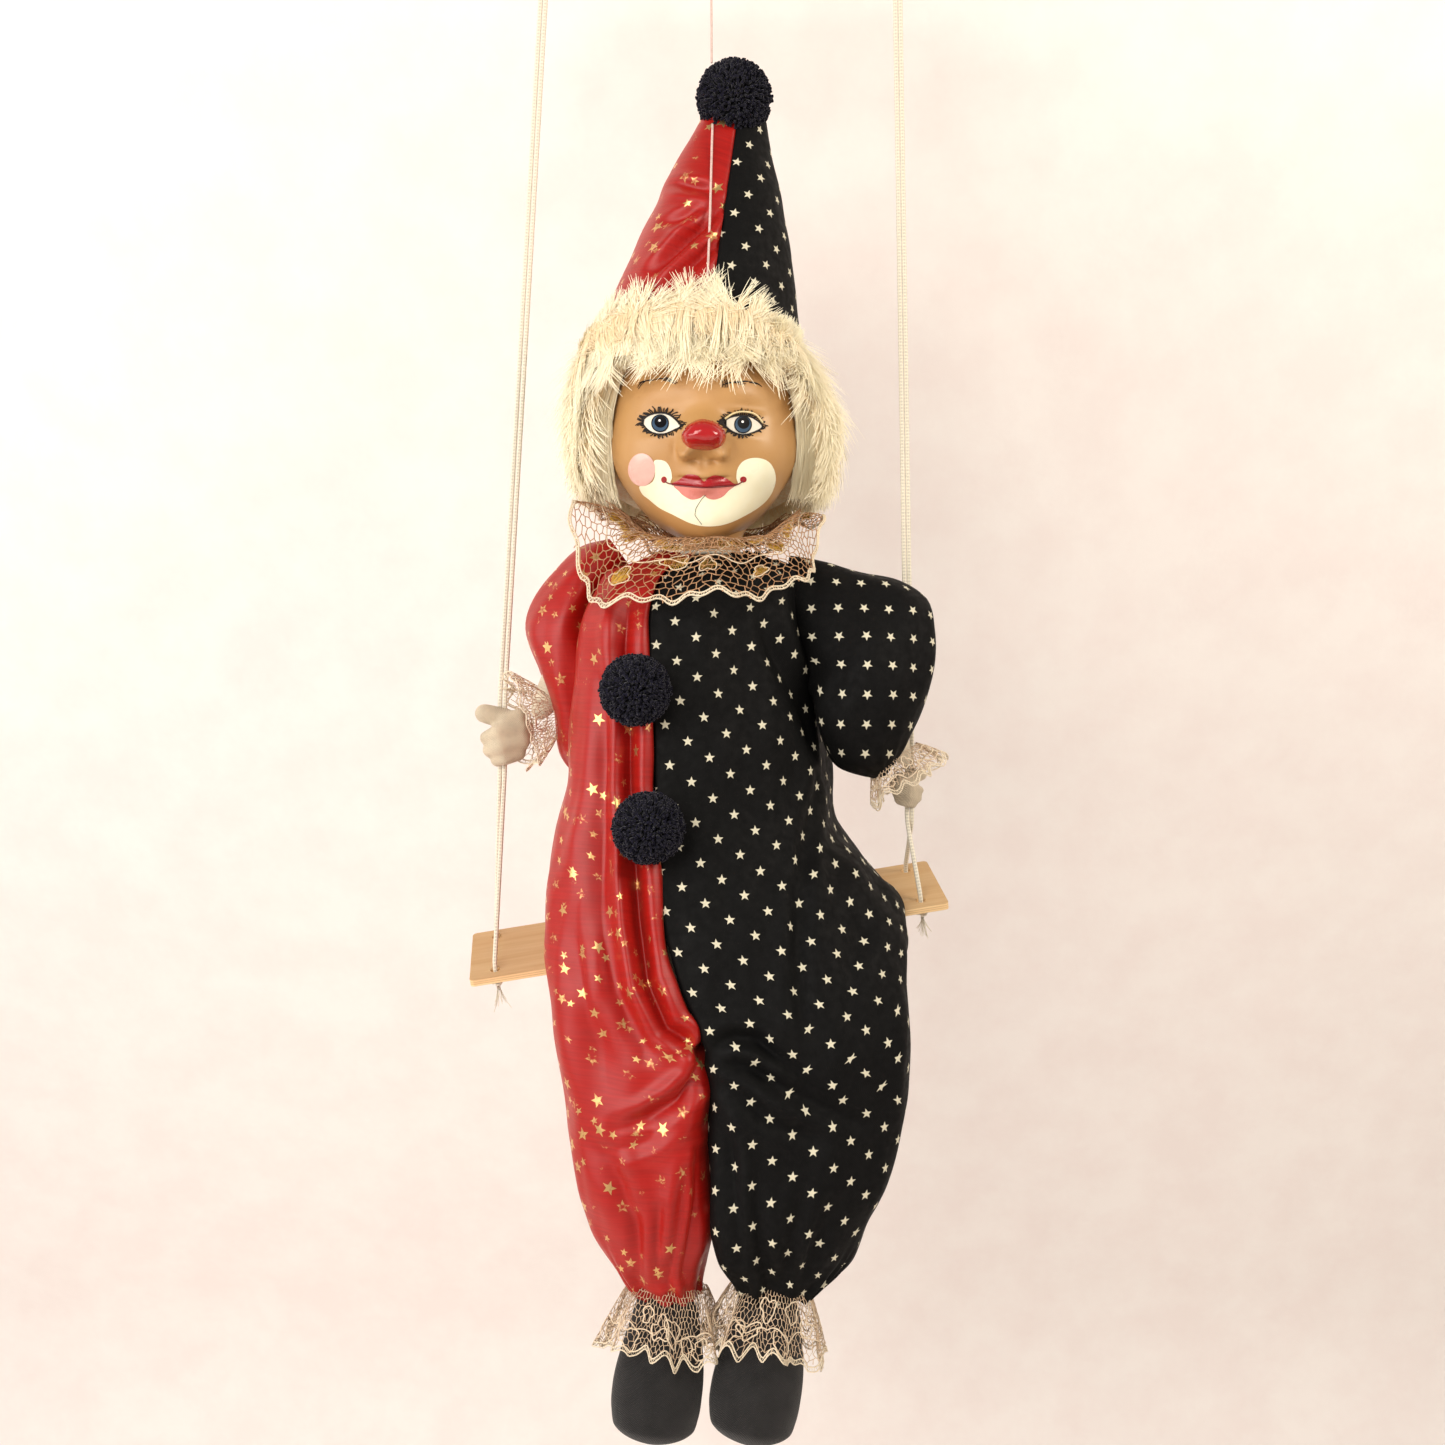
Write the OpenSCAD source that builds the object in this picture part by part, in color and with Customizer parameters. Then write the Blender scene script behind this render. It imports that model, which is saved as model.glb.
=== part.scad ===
// Clown doll seated on a hanging wooden swing.
// Origin at the centre of the hang hole in the hanger bar, +X to the viewer's right,
// +Y away from the viewer, +Z up.
// The doll's own right side, in red, lies towards -X, and its left side, in black, towards +X.

/* [Hanger bar] */
// Length of the bar
bar_len = 188; // [180:2:240]
// Height of the bar
bar_h = 18; // [16:1:24]
// Thickness of the bar, front to back
bar_t = 14; // [11:1:20]
// Diameter of the hole that hangs on a nail
hang_d = 4; // [3:0.5:5]
// Drop from the top of the bar to the middle of the hang hole
hang_drop = 7; // [6:0.5:9]
// Diameter of the holes that the cords pass through
bar_hole_d = 6; // [5.4:0.2:7]

/* [Cords] */
// Diameter of one swing cord
cord_d = 2; // [1.6:0.1:2.3]
// Distance between the two pairs of cords at the bar
cord_span = 153; // [146:1:160]
// Length from the bend under the bar to the middle of the seat
cord_drop = 412; // [400:1:430]
// Diameter of the head thread
thread_d = 1; // [0.6:0.1:1.4]
// Height of the right hand above the middle of the seat
right_grip_h = 84; // [80:1:90]
// Height of the left hand above the middle of the seat
left_grip_h = 60; // [58:1:66]

/* [Seat] */
// Width of the plywood seat
seat_w = 209; // [204:1:220]
// Depth of the seat, front to back
seat_d = 44; // [40:1:46]
// Thickness of the plywood
seat_t = 3; // [2.5:0.5:5]
// Diameter of the cord holes in the seat
seat_hole_d = 4.4; // [4:0.2:5.4]
// Inset of the holes from the ends of the seat
hole_inset_x = 11; // [9:0.5:14]
// Inset of the holes from the long edges of the seat
hole_inset_y = 6.6; // [6:0.2:8]
// Forward tip of the seat, in degrees
seat_pitch = 20; // [14:1:22]
// Sideways tip of the seat, in degrees
seat_roll = 8.8; // [6:0.2:10]
// Turn of the seat about the vertical, in degrees
seat_yaw = 3.4; // [0:0.2:5]

/* [Stuffed body] */
// Height from the middle of the seat to the top of the neck opening
torso_h = 164; // [160:1:170]
// Greatest radius of the stuffed torso
torso_r = 39; // [34:1:40]
// Diameter of the porcelain neck
neck_d = 25; // [22:0.5:26]
// Length of neck held inside the torso
neck_grip = 20; // [16:1:24]
// Radius of the stuffed arms
arm_r = 7.5; // [6:0.5:8]
// Radius of the stuffed legs at the calf
leg_r = 16; // [13:0.5:17]
// Length of the leg from the bend over the seat edge to the ankle
leg_len = 148; // [140:1:160]
// Length of a black cloth foot
foot_len = 54; // [48:1:60]
// Width of a black cloth foot
foot_w = 36; // [32:1:37]

/* [Head] */
// Width of the head across the cheeks
head_w = 80; // [76:1:84]
// Height of the head from chin to crown
head_h = 106; // [102:1:110]
// Depth of the head without the nose
head_d = 88; // [84:1:92]
// Height of the nose above the face
nose_out = 13; // [8:0.5:15]
// Thickness of the wig at its sides
hair_side = 21; // [14:1:22]
// Thickness of the wig at the fringe
hair_front = 7; // [5:0.5:9]

/* [Hat] */
// Height of the hat from its edge to its blunt tip
hat_h = 85; // [80:1:95]
// Diameter of the hat below the pompom
hat_tip_d = 29; // [26:1:32]
// Sideways lean of the tip towards the black half
hat_lean = 13; // [6:1:15]
// Diameter of the pompom on the hat
hat_pompom_d = 33; // [30:1:36]

/* [Costume] */
// Thickness of the costume cloth with its lining
cloth_t = 1.4; // [1:0.1:2]
// Depth of the hanging folds on the red half
fold_d = 5; // [2:0.5:6]
// Diameter of the pompoms on the chest
chest_pompom_d = 29; // [24:1:32]
// Thickness of the gathered lace
lace_t = 1; // [0.8:0.1:1.4]
// Width of each costume half from the neck's axis to its hem
costume_w = 66; // [62:1:68]
// Depth of the costume from the neck's axis to its front
costume_d = 56; // [53:1:58]
// Fullness of the red trouser leg from the crotch outwards
red_leg_w = 65; // [60:1:68]
// Fullness of the black trouser leg from the crotch outwards
black_leg_w = 83; // [76:1:86]
// Reach of the lace collar from the neck's axis to its front edge
collar_reach = 60; // [56:1:62]
// Droop of the lace collar at the front
collar_droop = 22; // [19:1:23]
// Number of waves in the lace collar
collar_waves = 10; // [8:1:11]
// Height of the waves in the lace collar
collar_wave_h = 4; // [2:0.5:5]
// Number of waves in each lace cuff
cuff_waves = 7; // [5:1:8]
// Clearance between soft pieces
soft_gap = 0.4; // [0.3:0.05:0.5]

/* [Hidden] */
$fn = 64;
RED = 0;
BLACK = 1;

// Heights down the middle of the swing
bar_bottom_z = hang_drop - bar_h;
stub_drop = 3.2;
flex_z = bar_bottom_z - stub_drop;
stub_gap = 0.7;
// Set-back of the seat that brings the weight of the doll under the bar
set_back = 15;
seat_c = [-6.3, set_back, flex_z - cord_drop];
neck_z = seat_c.z + torso_h;
strand_gap = 0.2;
strand_off = (cord_d + strand_gap) / 2;

// Head, neck and hat stand on one upright axis that the head turns about
axis_x = -4;
axis_y = seat_c.y - 8;
chin_rise = 3;
head_lift = head_h / 2 + chin_rise;
head_c = [axis_x - 3.2, axis_y - 2, neck_z + head_lift];
hat_seat_v = 45;
hat_seat_r = head_r(0, hat_seat_v) + hair_front + 1;
hat_edge_r = hat_seat_r * cos(hat_seat_v) + soft_gap + cloth_t;
hat_edge_z = head_c.z + hat_seat_r * sin(hat_seat_v);
hat_tip_z = hat_edge_z + hat_h;
hat_pompom_r = hat_pompom_d / 2;
hat_pompom_c = [head_c.x + hat_lean, head_c.y, hat_tip_z + hat_pompom_r];
thread_top_x = -4.2;

// Legs bend over the front edge of the seat about one level axis
bend_y = seat_c.y - seat_d / 2 - 32;
bend_z = seat_c.z - 2;
bend_clear_r = 33;
leg_split_x = -5;
leg_split_gap = 0.5;
ankle_z = bend_z - leg_len;

function unit(v) = v / norm(v);
function mix(a, b, t) = a + (b - a) * t;
function hump(x, w) = exp(-x * x / (w * w));
// Value at t of a list of [t, value] pairs, eased from one to the next
function eased(table, t) =
    t <= table[0][0] ? table[0][1] :
    t >= table[len(table) - 1][0] ? table[len(table) - 1][1] :
    let (k = [for (i = [0 : len(table) - 2]) if (t >= table[i][0] && t < table[i + 1][0]) i][0],
         s = (t - table[k][0]) / (table[k + 1][0] - table[k][0]))
    mix(table[k][1], table[k + 1][1], (1 - cos(180 * s)) / 2);
// Ring of points about a centre, square to a direction, that starts at the front and runs towards +X
function ring(centre, along, across, deep, count) =
    let (u = unit(cross([0, 1, 0], along)), v = cross(unit(along), u))
    [for (j = [0 : count - 1]) let (a = 360 * j / count) centre - v * deep * cos(a) - u * across * sin(a)];

// Solid between an outer and an inner grid of points, whose rows run downwards
module cloth_solid(outer, inner, wrapped) {
    rows = len(outer);
    cols = len(outer[0]);
    spans = wrapped ? cols : cols - 1;
    function o(i, j) = i * cols + j % cols;
    function n(i, j) = (rows + i) * cols + j % cols;
    last = rows - 1;
    edge = cols - 1;
    faces = [
        for (i = [0 : rows - 2], j = [0 : spans - 1]) each [
            [o(i, j), o(i, j + 1), o(i + 1, j + 1)], [o(i, j), o(i + 1, j + 1), o(i + 1, j)],
            [n(i, j), n(i + 1, j + 1), n(i, j + 1)], [n(i, j), n(i + 1, j), n(i + 1, j + 1)]
        ],
        for (j = [0 : spans - 1]) each [
            [o(0, j), n(0, j), n(0, j + 1)], [o(0, j), n(0, j + 1), o(0, j + 1)],
            [o(last, j), o(last, j + 1), n(last, j + 1)], [o(last, j), n(last, j + 1), n(last, j)]
        ],
        if (!wrapped) for (i = [0 : rows - 2]) each [
            [n(i, 0), o(i, 0), o(i + 1, 0)], [n(i, 0), o(i + 1, 0), n(i + 1, 0)],
            [o(i, edge), n(i, edge), o(i + 1, edge)], [n(i, edge), n(i + 1, edge), o(i + 1, edge)]
        ]
    ];
    polyhedron(points = [for (r = outer) each r, for (r = inner) each r], faces = faces, convexity = 8);
}

// Closed solid through rings of points that run downwards
module lofted(rows) {
    cols = len(rows[0]);
    last = len(rows) - 1;
    faces = [
        for (i = [0 : last - 1], j = [0 : cols - 1]) let (k = (j + 1) % cols) each [
            [i * cols + j, i * cols + k, (i + 1) * cols + k],
            [i * cols + j, (i + 1) * cols + k, (i + 1) * cols + j]
        ],
        [for (j = [cols - 1 : -1 : 0]) j],
        [for (j = [0 : cols - 1]) last * cols + j]
    ];
    polyhedron(points = [for (r = rows) each r], faces = faces, convexity = 6);
}

// Round cord along a list of points
module cord_along(points, d) {
    sides = 8;
    last = len(points) - 1;
    function heading(i) = unit(i == 0 ? points[1] - points[0] : i == last ? points[last] - points[last - 1] :
        unit(points[i + 1] - points[i]) + unit(points[i] - points[i - 1]));
    lofted([for (i = [0 : last]) ring(points[i], heading(i), d / 2, d / 2, sides)]);
}

// Straight stuffed limb between two points, with a radius at each end
module limb(from, to, r_from, r_to) {
    d = to - from;
    translate(from)
        rotate([0, acos(d.z / norm(d)), atan2(d.y, d.x)])
            cylinder(h = norm(d), r1 = r_from, r2 = r_to);
}

// Hanger bar, its knots, the cords and the seat

module bar_outline() {
    translate([0, hang_drop - bar_h / 2]) {
        square([bar_len - bar_h, bar_h], center = true);
        for (s = [-1, 1]) translate([s * (bar_len - bar_h) / 2, 0]) circle(d = bar_h);
    }
}

thread_hole_d = thread_d + 0.6;
module hanger_bar() {
    color("burlywood") difference() {
        rotate([90, 0, 0]) linear_extrude(bar_t, center = true) bar_outline();
        rotate([90, 0, 0]) cylinder(d = hang_d, h = bar_t + 2, center = true);
        for (s = [-1, 1])
            translate([s * cord_span / 2, 0, bar_bottom_z - 1]) cylinder(d = bar_hole_d, h = bar_h + 2);
        translate([thread_top_x, 0, bar_bottom_z - 1]) cylinder(d = thread_hole_d, h = bar_h + 2);
    }
}

// Knot on top of the bar with the ends of its strands hanging through the hole
module hanging_knot(x, strand_d, offsets, knot_d) {
    stub_z = flex_z + stub_gap;
    translate([x, 0, 0]) {
        translate([0, 0, hang_drop]) intersection() {
            translate([0, 0, knot_d * 0.3]) sphere(d = knot_d);
            translate([-knot_d, -knot_d, 0]) cube(knot_d * 2);
        }
        for (o = offsets)
            translate([o, 0, stub_z]) cylinder(d = strand_d, h = hang_drop - stub_z + knot_d * 0.4);
    }
}

knot_over = 3;
module hanger_knots() {
    color("ivory") {
        for (s = [-1, 1])
            hanging_knot(s * cord_span / 2, cord_d, [-strand_off, strand_off], bar_hole_d + knot_over);
        hanging_knot(thread_top_x, thread_d, [0], thread_hole_d + knot_over);
    }
}

// Point on the tipped seat, from its middle
function on_seat(p) =
    let (a = seat_pitch, b = -seat_roll, c = seat_yaw,
         q = [p.x, p.y * cos(a) - p.z * sin(a), p.y * sin(a) + p.z * cos(a)],
         s = [q.x * cos(b) + q.z * sin(b), q.y, -q.x * sin(b) + q.z * cos(b)])
    seat_c + [s.x * cos(c) - s.y * sin(c), s.x * sin(c) + s.y * cos(c), s.z];
module at_seat() {
    translate(seat_c) rotate([seat_pitch, -seat_roll, seat_yaw]) children();
}

hole_x = seat_w / 2 - hole_inset_x;
hole_y = seat_d / 2 - hole_inset_y;
seat_knot_d = seat_hole_d + 2;
seat_corner_r = 2;
module seat_outline() {
    square([seat_w - 2 * seat_corner_r, seat_d], center = true);
    square([seat_w, seat_d - 2 * seat_corner_r], center = true);
    for (sx = [-1, 1], sy = [-1, 1])
        translate([sx * (seat_w / 2 - seat_corner_r), sy * (seat_d / 2 - seat_corner_r)])
            circle(r = seat_corner_r);
}

module swing_seat() {
    color("tan") at_seat() difference() {
        linear_extrude(seat_t, center = true) seat_outline();
        for (sx = [-1, 1], sy = [-1, 1])
            translate([sx * hole_x, sy * hole_y, 0])
                cylinder(d = seat_hole_d, h = seat_t + 2, center = true);
    }
}

module seat_knots() {
    color("ivory") at_seat()
        for (sx = [-1, 1], sy = [-1, 1]) translate([sx * hole_x, sy * hole_y, -seat_t / 2]) intersection() {
            translate([0, 0, -seat_knot_d * 0.3]) sphere(d = seat_knot_d);
            translate([-seat_knot_d, -seat_knot_d, -2 * seat_knot_d]) cube(seat_knot_d * 2);
        }
}

// Where each hand holds its pair of cords
grip_y = seat_c.y - 2;
grip_half = 15;
grips = [[-96.5, grip_y, seat_c.z + right_grip_h], [83.3, grip_y, seat_c.z + left_grip_h]];
// Route of one strand, where side is -1 or 1 and depth is -1 for the front hole or 1 for the back one
function strand_route(side, depth) =
    let (grip = grips[side < 0 ? RED : BLACK], out = [side * depth * strand_off, 0, 0],
         hole = [side * hole_x, depth * hole_y, 0])
    [
        [side * cord_span / 2, 0, flex_z] + out,
        grip + [0, 0, grip_half] + out,
        grip - [0, 0, grip_half] + out,
        on_seat(hole + [0, 0, seat_t / 2 + cord_d]),
        on_seat(hole - [0, 0, seat_t / 2 + seat_knot_d * 0.3])
    ];
module swing_cord(side, depth) {
    color("ivory") cord_along(strand_route(side, depth), cord_d);
}

// Head thread above the pompom, and the same thread down the front of the hat to the hairline
pompom_top_z = hat_pompom_c.z + sqrt(pow(hat_pompom_r, 2) - pow(hat_pompom_c.x - axis_x, 2));
module head_thread() {
    color("white")
        cord_along([
            [thread_top_x, 0, flex_z],
            [axis_x, axis_y, pompom_top_z + soft_gap + thread_d / 2]
        ], thread_d);
}

// Point on the hat's outer face, where t runs from the edge to the tip and a from the front towards +X
function hat_r(t) = mix(hat_edge_r, hat_tip_d / 2, t) + 1.6 * sin(180 * t);
function hat_point(t, a, inward) =
    let (r = hat_r(t) - inward)
    [head_c.x + hat_lean * t + r * sin(a), head_c.y - r * cos(a), hat_edge_z + hat_h * t];
thread_stand = thread_d / 2 + soft_gap + 0.2;
module hat_thread() {
    color("white") cord_along([
        hat_point(0.99, -31, -thread_stand),
        hat_point(0.75, -16, -thread_stand),
        hat_point(0.5, -7, -thread_stand),
        hat_point(0.06, 1, -thread_stand)
    ], thread_d);
}

// Stuffed torso, limbs and feet

neck_r = neck_d / 2;
neck_cloth_r = neck_r + 3.4;
neck_run = 0.3;
torso_bottom_z = seat_c.z - 20;
module torso_profile() {
    shoulder_z = neck_z - 30;
    belly_z = neck_z - 105;
    polygon([
        [0, torso_bottom_z], [torso_r * 0.7, torso_bottom_z],
        for (a = [0 : 10 : 90])
            [torso_r * (0.82 + 0.18 * sin(a)), mix(torso_bottom_z, belly_z, sin(a / 2) / sin(45))],
        for (a = [10 : 10 : 90])
            [mix(torso_r, torso_r * 0.86, 1 - cos(a)), mix(belly_z, shoulder_z, sin(a))],
        for (a = [10 : 10 : 90])
            [mix(torso_r * 0.86, neck_cloth_r, sin(a)), mix(shoulder_z, neck_z - 9, 1 - cos(a))],
        [neck_cloth_r, neck_z], [0, neck_z]
    ]);
}
module above_seat() {
    at_seat() translate([-200, -200, seat_t / 2 + soft_gap]) cube([400, 400, 400]);
}
thigh_r = 11;
// Torso with the tops of the thighs, hollowed where the legs bend and where the neck turns
module torso_stuffing() {
    color("linen") difference() {
        intersection() {
            union() {
                difference() {
                    translate([axis_x, axis_y, 0]) rotate_extrude() torso_profile();
                    translate([-200, bend_y, bend_z]) rotate([0, 90, 0])
                        cylinder(r = bend_clear_r + soft_gap, h = 400);
                }
                for (c = bend_c) translate(c + [0, 0, 2]) rotate([-90, 0, 0]) cylinder(r = thigh_r, h = 52);
            }
            above_seat();
        }
        translate([axis_x, axis_y, neck_z - neck_grip - soft_gap])
            cylinder(r = neck_r + neck_run, h = neck_grip + 2);
        for (c = bend_c) translate(c) sphere(r = bend_ball_r + soft_gap);
    }
}

neck_tie_d = 2.2;
module neck_tie() {
    color("ivory") translate([axis_x, axis_y, neck_z - 3]) rotate_extrude()
        translate([neck_cloth_r + neck_tie_d / 2 + 0.05, 0]) circle(d = neck_tie_d, $fn = 24);
}

// Middle of each leg at the bend and at the ankle
bend_c = [[-30, bend_y, bend_z], [26, bend_y, bend_z]];
ankle_c = [[-22, bend_y + 2, ankle_z], [20, bend_y + 2, ankle_z]];
bend_ball_r = leg_r;
ankle_r = 11;
// Half outline of a leg, down from the bend, with a rounded top and a hollow for the top of the foot
module leg_profile(long) {
    difference() {
        union() {
            circle(r = bend_ball_r);
            polygon([[0, 0], [leg_r - 4, 0], [leg_r, long * 0.45], [ankle_r, long], [0, long]]);
        }
        translate([0, long]) circle(r = ankle_r + soft_gap);
        translate([-100, -100]) square([100, 400]);
    }
}
module leg(k) {
    d = ankle_c[k] - bend_c[k];
    color("linen") translate(bend_c[k]) rotate([0, acos(d.z / norm(d)), atan2(d.y, d.x)])
        rotate_extrude() leg_profile(norm(d));
}

// Foot as a stuffed bag that swells towards the toe
foot_tip = [[-28, bend_y - 7], [11, bend_y - 8]];
module foot_profile() {
    r = foot_w / 2;
    polygon([
        for (a = [-90 : 15 : 0]) [ankle_r * cos(a), ankle_r * sin(a)],
        for (a = [16 : 14 : 58]) [mix(ankle_r, r, sin(a)), foot_len * 0.72 * (1 - cos(a))],
        for (a = [0 : 10 : 80]) [r * cos(a), foot_len - r + r * sin(a)],
        [0, foot_len]
    ]);
}
module foot(k) {
    d = unit([foot_tip[k].x, foot_tip[k].y, ankle_z - foot_len] - ankle_c[k]);
    color("#2b2a29") translate(ankle_c[k]) rotate([0, acos(d.z), atan2(d.y, d.x)])
        rotate_extrude() foot_profile();
}

// Shoulders, elbows and wrists of the two arms
shoulder_z = neck_z - 25;
shoulder_c = [[axis_x - 54, axis_y + 1, shoulder_z + 5], [axis_x + 48, axis_y - 6, shoulder_z + 4]];
elbow_c = [[-69, seat_c.y - 14, shoulder_z - 28], [64, seat_c.y - 29, shoulder_z - 39]];
wrist_c = [grips[RED] + [15.5, -5, 6], grips[BLACK] + [-2.5, -11, 10]];
elbow_swell = 0.7;
module arm(k) {
    color("linen") {
        limb(shoulder_c[k], elbow_c[k], arm_r - 1, arm_r);
        translate(elbow_c[k]) sphere(r = arm_r + elbow_swell);
        limb(elbow_c[k], wrist_c[k], arm_r, arm_r - 1.5);
    }
}

// Mitten fist closed round a pair of cords, with the cords upright at its middle and the wrist towards +X
finger_r = 4.4;
fist_h = 30;
grip_hole_d = 2 * cord_d + strand_gap + 2 * soft_gap;
module finger_profile(long) {
    intersection() {
        union() {
            translate([0, -long / 2]) circle(r = finger_r, $fn = 32);
            translate([0, long / 2]) circle(r = finger_r, $fn = 32);
            translate([-finger_r, -long / 2]) square([2 * finger_r, long]);
        }
        translate([0, -long]) square([finger_r, long * 2]);
    }
}
module fist(mirrored) {
    fingers = 4;
    pitch = (fist_h - 2 * finger_r) / (fingers - 1);
    color("antiquewhite") mirror([mirrored ? 1 : 0, 0, 0]) difference() {
        union() {
            translate([4.5, 3, 1]) sphere(r = 10.5);
            translate([-5, 3.5, 7]) rotate([0, 80, 14]) rotate_extrude() finger_profile(11);
            for (i = [0 : fingers - 1])
                translate([-1 - i * 0.5, -5, 1 - i * pitch * 0.66]) rotate([0, 68, 10])
                    rotate_extrude() finger_profile(15 - i * 2);
        }
        cylinder(d = grip_hole_d, h = 80, center = true);
    }
}
module hand(k) {
    translate(grips[k]) fist(k == BLACK);
}

// Porcelain head

// Radius of the head towards longitude u, from the face towards +X, and latitude v
function head_r(u, v) =
    let (d = [cos(v) * sin(u), -cos(v) * cos(u), sin(v)],
         base = 1 / norm([d.x * 2 / head_w, d.y * 2 / head_d, d.z * 2 / head_h]),
         side = abs(u))
    base
        + nose_out * hump(side, 9.5) * hump(v + 16, 8)
        + 3.6 * hump(side - 9, 6) * hump(v + 25, 5)
        + 4.5 * hump(side - 42, 22) * hump(v + 28, 18)
        + 3 * hump(side - 72, 26) * hump(v + 26, 22)
        + 3 * hump(side, 15) * hump(v + 38, 7)
        + 9 * hump(side, 42) * hump(v + 62, 15)
        - 2.6 * hump(side - 25, 11) * hump(v + 8, 8)
        + 1.2 * hump(side - 22, 16) * hump(v - 6, 8);
function head_point(u, v, out) =
    head_c + (head_r(u, v) + out) * [cos(v) * sin(u), -cos(v) * cos(u), sin(v)];
head_cols = 40;
head_rows = 22;
crown_v = 62;
floor_v = -86;
head_wall = 4;
function wrapped_u(j, cols) = let (u = 360 * j / cols) u > 180 ? u - 360 : u;
neck_sunk = 16;
function head_grid(out) = [for (i = [0 : head_rows]) let (v = mix(crown_v, floor_v, i / head_rows))
    [for (j = [0 : head_cols - 1]) head_point(wrapped_u(j, head_cols), v, out)]];
// Hollow casting, open at the crown under the wig, with a neck that turns in the torso
module head() {
    color("navajowhite") {
        cloth_solid(head_grid(0), head_grid(-head_wall), true);
        translate([axis_x, axis_y, neck_z - neck_grip])
            cylinder(r = neck_r, h = neck_grip + chin_rise + neck_sunk);
    }
}

// Lowest latitude of the wig at longitude u: short over the face and long at the sides and back
function wig_edge(u) = mix(15, -36, eased([[60, 0], [86, 1]], abs(u)));
function hair_t(u, s) =
    let (long = eased([[50, 0], [88, 1]], abs(u)))
    mix(hair_front, hair_side, long * eased([[0.25, 0], [0.75, 1]], s));
wig_cols = 40;
wig_rows = 8;
module wig() {
    function strand(j, s) = let (u = wrapped_u(j, wig_cols)) [u, mix(86, wig_edge(u), s)];
    outer = [for (i = [0 : wig_rows]) let (s = i / wig_rows) [for (j = [0 : wig_cols - 1])
        let (q = strand(j, s)) head_point(q[0], q[1], hair_t(q[0], s))]];
    inner = [for (i = [0 : wig_rows]) let (s = i / wig_rows) [for (j = [0 : wig_cols - 1])
        let (q = strand(j, s)) head_point(q[0], q[1], 2 + soft_gap)]];
    color("cornsilk") cloth_solid(outer, inner, true);
}

// Hat of two sewn panels that meet at the front and the back
hat_cols = 12;
hat_steps = [1.012, 0.97, 0.8, 0.6, 0.4, 0.2, 0];
tip_in = 5.2;
module hat_panel(from_a, to_a) {
    function grid(inward) = [for (t = hat_steps) [for (j = [0 : hat_cols])
        hat_point(t, mix(from_a, to_a, j / hat_cols), inward + (t > 1 ? tip_in : 0))]];
    cloth_solid(grid(0), grid(cloth_t), false);
}
module hat_red_panel() { color("crimson") hat_panel(-180, 0); }
module hat_black_panel() { color("#201f20") hat_panel(0, 180); }
module hat_pompom() { color("midnightblue") translate(hat_pompom_c) sphere(d = hat_pompom_d); }

// Costume

costume_y = axis_y;
costume_top_z = neck_z - 6;
// Half widths of the costume body on the red and black sides and its depths to the front and back,
// by share of height
costume_neck_r = neck_cloth_r + soft_gap + cloth_t;
function widths(shares, full) = [[0, costume_neck_r], for (s = shares) [s[0], s[1] * full]];
costume_red = widths([[0.06, 0.5], [0.16, 0.71], [0.45, 0.833], [0.75, 0.879], [1, 1]], costume_w);
costume_black = widths([[0.06, 0.485], [0.16, 0.591], [0.45, 0.652], [0.75, 0.758], [1, 1]], costume_w);
costume_front = widths([[0.06, 0.571], [0.16, 0.821], [0.45, 0.946], [0.75, 1], [1, 1]], costume_d);
costume_back = widths([[0.06, 0.554], [0.16, 0.732], [0.45, 0.821], [0.75, 0.839], [1, 0.821]], costume_d);
// Squareness of the costume's section by share of height: 2 is an ellipse
costume_square = [[0.3, 2], [0.7, 2.7]];
hem_front_z = bend_z + bend_clear_r + 2;
hem_back_z = seat_c.z + 17.5;
costume_rows = 9;
costume_cols = 18;
// Angle of the front seam, from the middle of the front
function seam_a(t) = mix(-35, -21, t);
function fold(a, t) = fold_d * (hump(a - seam_a(t) + 17, 8) + hump(a - seam_a(t) + 52, 9)) * sin(176 * t);
function costume_point(t, a, inward) =
    let (w = eased(a < 0 ? costume_red : costume_black, t),
         d = eased(abs(a) < 90 ? costume_front : costume_back, t),
         n = eased(costume_square, t),
         round_r = pow(pow(abs(sin(a)) / w, n) + pow(abs(cos(a)) / d, n), -1 / n),
         r = round_r - inward - (a < seam_a(t) ? fold(a, t) : 0),
         y = costume_y - r * cos(a),
         hem = mix(hem_front_z, hem_back_z, (y - costume_y + costume_d) / (1.77 * costume_d)))
    [axis_x + r * sin(a), y, mix(costume_top_z, hem, t)];
module costume_half(red) {
    function side_a(t, s) = red ? mix(-180, seam_a(t), s) : mix(seam_a(t), 180, s);
    function grid(inward) = [for (i = [0 : costume_rows]) let (t = i / costume_rows)
        [for (j = [0 : costume_cols]) costume_point(t, side_a(t, j / costume_cols), inward)]];
    cloth_solid(grid(0), grid(cloth_t), false);
}
module costume_red_half() { color("crimson") costume_half(true); }
module costume_black_half() { color("#201f20") costume_half(false); }

// Pompom that stands on the front seam at a share of the costume's height
module chest_pompom(t) {
    a = seam_a(t) + 3;
    foot = costume_point(t, a, 0);
    out = unit([sin(a), -cos(a), -0.05]);
    color("midnightblue") translate(foot + out * (chest_pompom_d / 2 + soft_gap)) sphere(d = chest_pompom_d);
}
pompom_t = [0.445, 0.885];

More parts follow.
